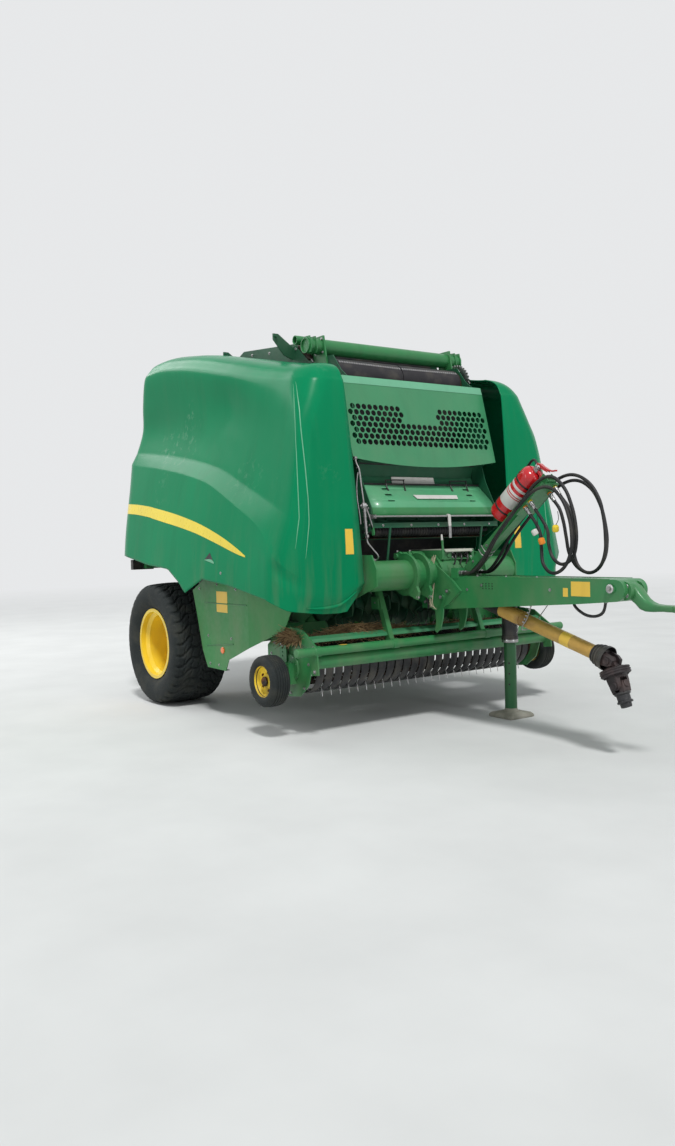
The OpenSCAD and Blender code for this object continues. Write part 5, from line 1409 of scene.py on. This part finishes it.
def rack_trim():
    """Bolts and two clips along the rack."""
    s = on_rack("steel")
    for side in (-1, 1):
        s.side_bolts(side, 40, [(u, 30) for u in (150, 330, 520, 640, 760, 900)], 11, 7)
    for clip in (
        ((250, -43, 60), (256, -50, 30), (262, -48, -6), (268, -20, -16), (274, 20, -14), (276, 42, 10)),
        ((290, -43, 62), (296, -50, 30), (300, -48, -4), (306, -20, -14), (312, 20, -12), (314, 42, 10)),
    ):
        s.wire(clip, 3.4, 8, 5)
    return s.use("paint").slab([(-60, -58, -8), (30, -58, -8), (30, 58, -8), (-60, 58, -8)], (0, 0, 8))


class BALER_OT_drawbar(bpy.types.Operator):
    """Makes the hitch tongue and the small parts of the drawbar, rack and gearbox."""

    bl_idname = "baler.drawbar"
    bl_label = "Drawbar"

    def execute(self, context):
        gearbox_trim().done("gearbox_trim", "chassis", bevel=1.0)
        twine().done("twine_ends", "chassis")
        drawbar_trim().done("drawbar_trim", "chassis")
        tongue().done("hitch_tongue_casting", "chassis", "hitch_tongue", bevel=2.5, sharp=50)
        rack_trim().done("rack_trim", "chassis")
        return {"FINISHED"}


# ---------------------------------------------------------------- extinguisher and couplers

# Where the bottle's foot lies along the rack and above it
BOTTLE_U, BOTTLE_W = 555.3, 136.0


def on_bottle(*points):
    """Points on the rack from points along the bottle, beside it and above its middle."""
    return [(BOTTLE_U + u, y, BOTTLE_W + w) for u, y, w in points]


def bottle():
    """The extinguisher: domed bottle, label bands, strap, valve, lever and its hose."""
    s = on_rack("red")
    foot = on_bottle((0, 0, 0))[0]
    s.lathe([
        (30, -20), (44, -28), (60, -28), (70, -22), (77, -12), (79.6, 2), (80, 12), (80, 356), (78.5, 372),
        (74, 386), (66, 398), (54, 408), (40, 415), (27, 418),
    ], foot, AHEAD, 56)
    # Bands as finish, inner and outer radius, run of their edge, and both ends
    for finish, r0, r1, run, bands in (
        ("label", 80.1, 80.9, 2, ((108, 232), (258, 278))),
        ("red", 80.8, 81.5, 1, ((190, 198), (206, 214))),
        ("plastic", 80.4, 82.4, 1, ((48, 62), (304, 318))),
    ):
        s.use(finish)
        for low, high in bands:
            s.lathe([(r0, low), (r1, low + run), (r1, high - run), (r0, high)], foot, AHEAD, 56, caps=False)
            if finish == "plastic":
                s.box(*on_bottle((low - 3, -18, 79), (low + 18, 18, 90)))
    s.use("steel").lathe([(26, 414), (28, 418), (28, 430), (24, 434), (22, 440)], foot, AHEAD, 6)
    s.lathe([(20, 434), (20, 462), (14, 468)], foot, AHEAD, 20)
    s.lathe([(13, 0), (15, 2), (15, 9), (12, 11)], on_bottle((452, -20, 0))[0], (0, -1, 0), 20)
    s.use("red")
    # Carrying handle and squeeze lever, on the side away from the hose
    for along, half, bends in (
        (430, 13, ((-4, 18), (4, -10), (6, -44), (0, -78), (6, -112), (20, -124))),
        (458, 12, ((0, 22), (14, 2), (24, -36), (40, -72), (62, -104), (84, -118))),
    ):
        # The strap itself, then its two folded edges: bends, both sides and how deep
        edges = [(bends[:4], y - 1.5, y + 1.5, -9) for y in (-half, half)]
        for line, y0, y1, deep in [(bends, -half, half, 0), *edges]:
            section = ((y0, deep), (y1, deep), (y1, 7), (y0, 7))
            s.skin([on_bottle(*((along + k + d, y, h + d) for y, d in section)) for k, h in line])
    s.use("steel").pipe(on_bottle((448, -17, -14), (448, 17, -14)), 4, 8)
    s.lathe([(9, 0), (10, 3), (10, 22), (7, 26)], on_bottle((446, 0, 8))[0], (0.2, 0, 1), 18)
    s.use("hose").wire(on_bottle(
        (450, 0, 30), (452, 6, 62), (424, 20, 90), (370, 30, 96), (290, 34, 90), (180, 36, 88), (60, 38, 88)
    ), 9, 10, 6)
    return s.use("plastic").pipe(on_bottle((64, 38, 88), (-6, 38, 86)), lambda t: 11 + 3 * t, 14)


# Where the hoses' couplers stand along the rack and beside its middle
COUPLERS = ((985, 58), (925, 58), (845, -58), (790, -58))


def coupler(k):
    """A quick coupler with its ferrule, hexagon, sleeve and coloured cap."""
    s = on_rack("steel")
    foot = (*COUPLERS[k], 0)
    s.lathe([(12, -84.8), (13.6, -84), (13.6, -64), (12, -62)], foot, UP, 24)
    s.hexagon([(15.5, -62), (15.5, -50)], foot, UP)
    sleeve = [(13, -50), (15.6, -48), (15.6, -34), (14, -33), (14, -31), (15.6, -30), (15.6, -24)]
    s.lathe(sleeve, foot, UP, 24)
    s.use(("cap_yellow", "cap_orange")[k % 2])
    return s.lathe([(12, -24), (16, -23.6), (16, -15.4), (12, -15.2)], foot, UP, 24)


def dust_caps():
    """Coloured dust caps that hang among the hoses on their cords."""
    s = Shape("steel")
    cap = [(6, 22), (17, 20), (21, 12), (21, -14), (18, -18), (17, -14), (16, 8), (2, 8)]
    for k, (x, y, z) in enumerate(((3452, -88, 1408), (3331, -86, 1330), (3272, -84, 1388))):
        s.use(("cap_yellow", "cap_orange", "label")[k])
        s.lathe(cap, (x, y, z), (0.3 - 0.3 * k, -0.35, 0.85), 24)
        s.use("plastic").wire([(x, y, z + 20), (x + 14, y + 12, z + 60), (x + 6, y + 14, z + 110)], 2.2, 6, 4)
    return s


def hose_fittings():
    """Ferrules and hexagons where the hoses leave the blocks on the drawbar."""
    s = Shape("steel")
    for y in (62, 94, -64, -96):
        s.lathe([(13.5, 0), (13.5, 30), (12, 32)], (2562, y, 1116), (1, 0, 0.07), 22)
        s.hexagon([(17, -4), (17, 8)], (2562, y, 1116), (1, 0, 0.07))
    return s


class BALER_OT_extinguisher(bpy.types.Operator):
    """Makes the fire extinguisher that lies on the rack."""

    bl_idname = "baler.extinguisher"
    bl_label = "Extinguisher"

    def execute(self, context):
        bottle().done("extinguisher_bottle", "chassis", "extinguisher", bevel=0.6)
        return {"FINISHED"}


# ---------------------------------------------------------------- drive shaft and jack

# Where the shaft starts, and in degrees how steeply it and its front yoke point down
SHAFT_X, SHAFT_Z, SHAFT_SLOPE, YOKE_SLOPE, SHAFT_LEN = 2500, 975, 16.4, 68.0, 1355.0
# Middle of the jack
JACK_X, JACK_Y = 2470, 480


def on_shaft(finish):
    """A shape drawn along the drive shaft: X runs down it from the joint at the gearbox."""
    return Shape(finish).put(SHAFT_X, 0, SHAFT_Z, SHAFT_SLOPE)


def shaft_rear():
    """The black bell and rear guard tube, and the strap that hangs the parked shaft."""
    s = on_shaft("plastic")
    foot = (0, 0, 0)
    bell = [
        (52.2, 120), (60, 116), (68, 96), (70, 90), (70, 86), (65, 85), (65, 81), (71, 80), (71, 74),
        (66, 73), (66, 69), (72, 68), (72, 62), (67, 61), (67, 57), (72, 56), (71, 47), (62, 47), (58, 100),
        (47.2, 120),
    ]
    s.lathe(bell, foot, AHEAD, 56, closed=True)
    # The guard tube is black up to 400 mm, where it lies in the beam's shadow, so this black is partly
    # painted shadow; beyond it the tube is tan
    s.lathe([(47.2, 110), (52.2, 110), (52.2, 400), (47.2, 400)], foot, AHEAD, 48, closed=True)
    tube = [(47.2, 400), (52.2, 400), (52.2, 590), (51, 594.5), (47.2, 594.5)]
    s.use("guard").lathe(tube, foot, AHEAD, 48, closed=True)
    s.use("dark_steel").lathe([(18, -22), (25, -19), (25, 19), (18, 22)], foot, LEFT, 32)
    s.taper((8, 17, 16), (52, 19, 18))
    s.put()
    s.use("steel").wire([
        (3236, -90, 920), (3200, -72, 868), (3160, -60, 812), (3120, -54, 770), (3092, -36, 742),
        (3086, 0, 734), (3096, 36, 744), (3130, 56, 784), (3176, 62, 838), (3222, 76, 900),
    ], 3.6, 8, 6)
    for t in (k / 5 for k in range(6)):
        place = (3226 - 96 * t, -86 + 26 * t, 906 - 112 * t)
        s.lathe([(3, -6), (6.5, -4), (6.5, 4), (3, 6)], place, (0.4, 0.2, 0.9), 8)
    return s


def fork_arm(s, side, sections):
    """One arm of a joint's fork: at each place its inner and outer distance with their half heights."""
    s.skin([
        [(x, side * y0, -z0), (x, side * y1, -z1), (x, side * y1, z1), (x, side * y0, z0)]
        for x, y0, y1, z0, z1 in sections
    ])


def shaft_front():
    """The faded guard tube, its bright band, and the black ribbed bell over the front joint."""
    s = on_shaft("guard")
    foot, joint = (0, 0, 0), (SHAFT_LEN, 0, 0)
    s.lathe([(30, 302), (46, 300), (46, 1226), (40, 1228)], foot, AHEAD, 48)
    s.use("decal").lathe([(46, 962), (46.9, 963), (46.9, 1040), (46, 1041)], foot, AHEAD, 48, caps=False)
    bell = [
        (46.2, 1222), (50, 1224), (54, 1230), (60, 1232), (60, 1238), (56, 1240), (62, 1252), (68, 1254),
        (68, 1261), (64, 1263), (69, 1276), (74, 1278), (74, 1285), (70, 1287), (74, 1306), (79, 1310),
        (79, 1330), (75, 1332), (72, 1310), (60, 1266), (46.2, 1242),
    ]
    s.use("band").lathe(bell, foot, AHEAD, 56, closed=True)
    neck = [(30, 1216), (48, 1262), (56, 1272), (56, 1300), (50, 1312), (30, 1320)]
    s.use("joint").lathe(neck, foot, AHEAD, 36)
    for side in (-1, 1):
        fork_arm(s, side, (
            (1296, 22, 60, 44, 34), (1330, 24.4, 58, 42, 34), (1368, 24.4, 54, 38, 30),
            (1396, 24.4, 50, 20, 16),
        ))
        s.lathe([(24, 48), (24, 60), (17, 63), (10, 61)], joint, (0, side, 0), 24)
    return s.lathe([(11.8, -24), (11.8, 24)], joint, LEFT, 20)


def shaft_yoke():
    """The wide-angle joint: centring disc with its rim, yoke, cross and splined collar."""
    slope, foot, cross = math.radians(SHAFT_SLOPE), (0, 0, 0), (158, 0, 0)
    end = SHAFT_X + SHAFT_LEN * math.cos(slope), 0, SHAFT_Z - SHAFT_LEN * math.sin(slope)
    s = Shape("joint").put(*end, YOKE_SLOPE)
    hub = [(12.2, -19), (22, -20), (25, -16), (25, 16), (22, 20), (12.2, 19)]
    s.lathe(hub, foot, LEFT, 32, closed=True)
    s.taper((14, 18, 17), (50, 20, 40))
    # Large ring with its grooved rim
    s.lathe([
        (30, 42), (58, 44), (70, 50), (88, 52), (94, 56), (94, 62), (91, 64), (91, 68), (95, 70), (95, 77),
        (91, 79), (91, 82), (94, 84), (94, 92), (88, 96), (74, 97), (70, 100), (62, 103), (58, 114),
        (44, 120),
    ], foot, AHEAD, 60)
    for a in turns(8, 0.5):
        s.bolt((96, 76 * math.cos(a), 76 * math.sin(a)), AHEAD, 12, 8)
    for side in (-1, 1):
        fork_arm(s, side, (
            (100, 24, 62, 48, 36), (130, 32, 60, 44, 36), (166, 34, 56, 40, 33), (188, 34, 52, 22, 19)
        ))
        s.lathe([(26, 50), (26, 62), (19, 65), (12, 62)], cross, (0, side, 0), 28)
        s.lathe([(23, 44), (23, 57), (17, 60), (10, 57)], cross, (0, 0, side), 28)
        s.skin([
            [(x, -y0, side * z0), (x, y0, side * z0), (x, y1, side * z1), (x, -y1, side * z1)]
            for x, y0, y1, z0, z1 in ((136, 26, 22, 24, 46), (166, 36, 32, 22, 54), (206, 40, 34, 12, 44))
        ])
    for axis in (LEFT, UP):
        s.lathe([(17, -46), (17, 46)], cross, axis, 20)
    s.use("band").lathe([
        (26, 196), (44, 199), (50, 203), (51, 212), (48, 217), (42, 219), (41, 250), (44, 254), (48, 257),
        (48, 266), (44, 269), (36, 270), (34, 292), (30, 296), (20, 296), (18, 240), (1, 240),
    ], foot, AHEAD, 44)
    for a in turns(18):
        s.pipe([(x, 47 * math.cos(a), 47 * math.sin(a)) for x in (257, 268)], 2.4, 6)
    return s


def jack_leg_piece():
    """The jack's green tube with its pin holes drawn as black discs of painted shade, on a weathered pressed
    foot.
    """
    s = Shape("dark_paint")
    base = (JACK_X, JACK_Y, 0)
    s.lathe([(38, 30), (46, 30), (46, 638), (44, 640), (38, 640)], base, UP, 44, closed=True)
    # The pin holes: black discs on the tube that paint the shade inside the holes
    s.use("plastic")
    for z in (250, 330, 410):
        s.lathe([(7.5, 44.9), (7.5, 46.6), (5.5, 46.8)], (JACK_X, JACK_Y, z), (0.55, -0.84, 0), 16)
    s.use("weathered").skin([
        [(JACK_X + x, JACK_Y + y, z) for x, y in rounded_ring(half, half, min(half, 18), 40)]
        for half, z in ((118, 0), (124, 3), (125, 12), (122, 22), (108, 34), (60, 40))
    ])
    return s.lathe([(62, 34), (60, 46), (50, 52), (46.2, 66)], base, UP, 40)


def jack_sleeve_trim():
    """Bright collar, locking pin and bracket bolts of the jack's sleeve."""
    s = Shape("steel")
    x, y = JACK_X, JACK_Y
    s.lathe([(47, 0), (60, 0), (62, 3), (62, 22), (60, 25), (47, 25)], (x, y, 566), UP, 44, closed=True)
    s.pipe([(x + 76, y, 700), (x - 72, y, 700)], 7, 12)
    s.wire([(x + 74, y, 700), (x + 92, y - 6, 690), (x + 96, y - 12, 660), (x + 84, y - 14, 640)], 3, 8, 4)
    for dz in (-14, 14):
        s.bolt((x + 40, 300 + dz * 6, 925), AHEAD, 14, 9)
    return s.use("plastic").lathe([(58, 0), (62, 4), (62, 12), (40, 18), (1, 20)], (x, y, 948), UP, 44)


class BALER_OT_shaft(bpy.types.Operator):
    """Makes the drive shaft's guards and joints, and the jack."""

    bl_idname = "baler.shaft"
    bl_label = "Drive shaft and jack"

    def execute(self, context):
        shaft_rear().done("shaft_bell_and_strap", body_of("pto_rear"), "pto_rear")
        shaft_front().done("shaft_guard_front", body_of("pto_front"), "pto_front")
        shaft_yoke().done("shaft_wide_angle_joint", body_of("pto_yoke"), "pto_yoke", bevel=1.2)
        jack_leg_piece().done("jack_tube_and_foot", body_of("jack_leg"), "jack_leg")
        jack_sleeve_trim().done("jack_collar", "chassis")
        return {"FINISHED"}


# ---------------------------------------------------------------- pickup

# The reel's middle, and the bands' pitch and number to each side of the middle one
REEL_X, REEL_Z, BAND_PITCH, BAND_N = 1930.0, 480.0, 78.0, 13
# A band's section, as distance from its middle and radius from the reel
BAND_SECTION = (
    (-32, 185), (-32.5, 188), (-30, 190.5), (-24, 192), (-9, 193.5), (9, 193.5), (24, 192), (30, 190.5),
    (32.5, 188), (32, 185),
)
# Heaps of straw: finish, centre, reach, number of stalks, seed and how steeply they stand
HEAPS = (
    ("straw", (2030, -640, 674), (84, 430, 92), 1500, 3, 1.0),
    ("straw", (1990, -300, 672), (100, 260, 60), 500, 13, 1.0),
    ("straw", (1960, 460, 672), (90, 480, 40), 500, 23, 1.0),
    ("straw", (1960, -1145, 690), (120, 28, 70), 420, 33, 1.6),
    ("straw_dark", (2010, -600, 672), (96, 460, 74), 900, 43, 1.0),
    ("straw_dark", (1930, -1140, 672), (130, 26, 60), 260, 53, 1.8),
)
# Middle of the wind guard's tube
GUARD_TUBE = (2245, 0, 618)


def band_row():
    """The curved bands over the reel, each with a crowned face and rolled edges."""
    s = Shape("band")
    # How far back of the reel's middle, then how far round it
    path = [(back, 90) for back in (-240, -150, -70)] + [(0, turn) for turn in range(90, -109, -9)]
    middles = [k * BAND_PITCH for k in range(-BAND_N, BAND_N + 1)]
    for middle in middles:
        rings = []
        for back, turn in path:
            t = math.radians(turn)
            out = Vector((math.cos(t), 0, math.sin(t)))
            centre = Vector((REEL_X + back, middle, REEL_Z))
            rings.append([centre + out * r + Vector((0, w, 0)) for w, r in BAND_SECTION])
        s.skin(rings)
    s.use("steel")
    for middle in middles:
        s.bolt((REEL_X - 222, middle, REEL_Z + 192), UP, 9, 6)
    return s


def reel_piece():
    """The tine reel: shaft, discs, bars, and sprung double tines."""
    s = Shape("dark_steel")
    centre = Vector((REEL_X, 0, REEL_Z))
    s.lathe([(30, -1129), (30, 1129)], centre, LEFT, 28)
    for y in (-1110, 0, 1110):
        disc = [(30, y - 6), (148, y - 6), (150, y - 4), (150, y + 4), (148, y + 6), (30, y + 6)]
        s.lathe(disc, centre, LEFT, 44, closed=True)
    for b in range(5):
        # The frame's reel turns its bars the same way round
        t = -math.radians(b * 72 + 54)
        out, along = Vector((math.cos(t), 0, math.sin(t))), Vector((-math.sin(t), 0, math.cos(t)))
        bar = centre + out * 132
        s.use("dark_steel").pipe([bar + Vector((0, y, 0)) for y in (-1112, 1112)], 15, 16)
        s.use("tine")
        for k in range(-BAND_N, BAND_N):
            foot = bar + Vector((0, (k + 0.5) * BAND_PITCH, 0))
            coil = []
            for i in range(17):
                a, beside = i * math.pi / 4, Vector((0, -9 + 18 * i / 16, 0))
                coil.append(foot + beside + (out * math.cos(a) + along * math.sin(a)) * 18.5)
            s.pipe(coil, 2.6, 5)
            ends = ((18, 0, 8), (17, 40, 4), (10, 84, 0), (-6, 117, 0))
            s.wire([foot + along * a + out * o + Vector((0, y, 0)) for a, o, y in ends], 2.8, 6, 2)
    return s


def heap(s, centre, reach, count, seed, steep):
    """Loose stalks piled round a centre within a reach, higher in the middle."""
    for k in range(count):
        draw = [seeded(k, seed + n) for n in range(7)]
        a, r = 2 * math.pi * draw[0], draw[1] ** 0.6
        share = (r * math.cos(a), r * math.sin(a), (1 - r * r) * draw[2])
        middle = Vector(c + d * part for c, d, part in zip(centre, reach, share))
        turn, rise, long = math.pi * draw[3], (draw[4] - 0.5) * 0.9 * steep, 30 + 70 * draw[5]
        lean = Vector((math.cos(turn), math.sin(turn), rise)).normalized() * long
        bend = Vector((0, 0, -long * 0.22 * draw[6]))
        s.pipe([middle - lean + bend, middle, middle + lean + bend], 1.5, 3)


def stalks():
    """Straw and dry grass left on the pickup."""
    s = Shape("straw")
    for finish, *pile in HEAPS:
        heap(s.use(finish), *pile)
    return s


def pickup_trim():
    """Round covers, bolts and the quadrant's pin at the pickup's ends."""
    s = Shape("paint")
    cover = [(96, 0), (96, 8), (90, 14), (50, 17), (46, 24), (20, 26), (0.5, 26)]
    for side in (-1, 1):
        s.lathe(cover, (REEL_X, side * 1130, REEL_Z), (0, side, 0), 44)
    s.use("steel")
    for side in (-1, 1):
        s.bolt_circle((REEL_X, side * 1138, REEL_Z), 78, 8, 0.5, side, 10, 7)
        s.side_bolts(side, 1130, (
            (1650, 560), (1700, 640), (1780, 700), (2080, 660), (2140, 520), (2080, 350), (1900, 300),
            (1780, 350),
        ), 12, 8)
        s.bolt((1850, side * 1158, 644), (0, side, 0), 18, 16)
    return s


def guard_trim():
    """End caps, clamps, angle bar, bolts and a blank plate on the wind guard."""
    s = Shape("paint")
    for side in (-1, 1):
        s.lathe([(31.5, 1284), (32, 1290), (27, 1297), (10, 1299)], GUARD_TUBE, (0, side, 0), 30)
        s.lathe([(31, 1100), (37, 1104), (37, 1150), (31, 1154)], GUARD_TUBE, (0, side, 0), 30, caps=False)
    for y in (-450, 450):
        s.lathe([(31, y - 28), (36, y - 26), (36, y + 26), (31, y + 28)], GUARD_TUBE, LEFT, 30, caps=False)
        s.box((2020, y - 34, 862), (2100, y - 22, 940))
    angle = ((2124, 706), (2176, 690), (2182, 672), (2186, 673), (2180, 694), (2125, 711))
    s.use("light_paint").skin([[(x, y, z) for x, z in angle] for y in (-1134, -560, 0, 560, 1134)])
    s.use("steel")
    for side in (-1, 1):
        s.side_bolts(side, 1146, ((1900, 740), (2230, 640), (2240, 480)), 16, 11)
        s.side_bolts(side, 478, ((2060, 905),), 14, 9)
    return s.use("decal").box((2236, -935, 648.6), (2262, -885, 650.6))


class BALER_OT_pickup(bpy.types.Operator):
    """Makes the pickup's bands, tines, end parts, wind guard fittings and left-over straw."""

    bl_idname = "baler.pickup"
    bl_label = "Pickup"

    def execute(self, context):
        band_row().done("pickup_band_row", "pickup", "pickup_bands")
        reel_piece().done("tine_reel_piece", "reel", "tine_reel")
        pickup_trim().done("pickup_trim", "pickup", bevel=0.8)
        guard_trim().done("wind_guard_trim", "guard", bevel=0.8)
        stalks().done("left_over_straw", "pickup")
        return {"FINISHED"}


# ---------------------------------------------------------------- skirts, lamps and rear

# Distance of the lower side panels' outer face from the middle
SKIRT_Y = 1220


def skirt_trim():
    """Bolts, blank plate, reflector and pressed ribs on the lower side panels."""
    s = Shape("steel")
    bolts = ((700, 1010), (1000, 1050), (1300, 1020), (830, 640), (1210, 640), (1000, 420), (850, 420))
    for side in (-1, 1):
        y = side * SKIRT_Y
        s.use("steel").side_bolts(side, SKIRT_Y, bolts, 12, 7)
        s.use("decal").box((987, y + side * 0.5 - 0.7, 835), (1162, y + side * 0.5 + 0.9, 997))
        s.use("reflector").lathe([(26, 0), (26, 5), (23, 8), (6, 9)], (1067, y, 540), (0, side, 0), 32)
        s.use("paint").pipe([(780, y, 900), (1460, y, 905)], 5, 8)
        s.pipe([(800, y, 560), (1240, y, 600)], 5, 8)
    return s


def lamp_pieces():
    """Rear lamps: housings, red and amber lenses and the ribs over them."""
    s = Shape("plastic")
    for side in (-1, 1):
        y = side * 1180
        s.box((-553, y - 100, 1150), (-500, y + 100, 1240))
        s.use("lens_red").box((-561, y - 92, 1158), (-551, y + 26, 1232))
        s.use("lens_amber").box((-561, y + 30, 1158), (-551, y + 92, 1232))
        s.use("plastic")
        for k in range(5):
            s.box((-562.6, y - 92, 1170 + k * 12.4), (-560, y + 92, 1172 + k * 12.4))
    return s


def gate_trim():
    """Bolts and fastening straps along the gate's arms and cross members."""
    s = Shape("steel")
    bolts = (
        (-530, 2540), (-670, 2360), (-730, 2120), (-760, 1880), (-800, 1600), (-830, 1380), (-730, 1180),
        (-690, 1000),
    )
    for side in (-1, 1):
        s.side_bolts(side, 648, bolts, 15, 10)
        s.lathe([(27, 0), (27, 6), (22, 9), (8, 10)], (400, side * 671, 2700), (0, side, 0), 30)
    s.use("paint")
    for y in (-400, 0, 400):
        s.box((-926, y - 20, 1284), (-918, y + 20, 1406))
    for y in (-420, 0, 420):
        s.bolt((-925, y, 1345), (-1, 0, 0), 18, 12)
    return s


class BALER_OT_sides(bpy.types.Operator):
    """Makes what sits on the lower panels, the rear lamps and the gate."""

    bl_idname = "baler.sides"
    bl_label = "Sides and rear"

    def execute(self, context):
        skirt_trim().done("skirt_trim", "chassis")
        lamp_pieces().done("rear_lamp_pair", "chassis", "rear_lamps", bevel=3.0)
        gate_trim().done("gate_trim", "gate")
        return {"FINISHED"}


# ---------------------------------------------------------------- finishes on the frame


class BALER_OT_paint(bpy.types.Operator):
    """Gives every node of the frame its finish and rounds the edges of its plates."""

    bl_idname = "baler.paint"
    bl_label = "Paint"

    def execute(self, context):
        make_finishes(context.scene.baler_colours)
        for finish, nodes in NODE_FINISH.items():
            for node in nodes.split():
                for slot in frame["nodes"][node].material_slots:
                    slot.link = "OBJECT"
                    slot.material = FINISHES[finish]
        for node in ROUNDED.split():
            round_edges(frame["nodes"][node], EDGE_ROUNDING, 40)
        return {"FINISHED"}


# ---------------------------------------------------------------- panel and run


class BALER_PT_panel(bpy.types.Panel):
    """Lists the steps in the 3D view's sidebar."""

    bl_label = "Round baler"
    bl_idname = "BALER_PT_panel"
    bl_space_type = "VIEW_3D"
    bl_region_type = "UI"
    bl_category = "Baler"

    def draw(self, context):
        for operator in OPERATORS:
            self.layout.operator(operator.bl_idname)


OPERATORS = (
    BALER_OT_stage, BALER_OT_paint, BALER_OT_hoses, BALER_OT_shields, BALER_OT_wheels, BALER_OT_front,
    BALER_OT_drawbar, BALER_OT_extinguisher, BALER_OT_shaft, BALER_OT_pickup, BALER_OT_sides,
)
CLASSES = (*PROPERTY_GROUPS, *OPERATORS, BALER_PT_panel)
SETTINGS = {
    "baler_stage": BALER_PG_stage,
    "baler_colours": BALER_PG_colours,
    "baler_sizes": BALER_PG_sizes,
}


def register():
    """Adds the classes and the scene's settings."""
    for cls in CLASSES:
        bpy.utils.register_class(cls)
    for name, group in SETTINGS.items():
        setattr(bpy.types.Scene, name, PointerProperty(type=group))


def unregister():
    """Takes the settings and the classes away again."""
    for name in SETTINGS:
        delattr(bpy.types.Scene, name)
    for cls in reversed(CLASSES):
        bpy.utils.unregister_class(cls)


def main():
    """Makes every piece."""
    register()
    for operator in OPERATORS:
        group, name = operator.bl_idname.split(".")
        getattr(getattr(bpy.ops, group), name)()


if __name__ == "__main__":
    main()
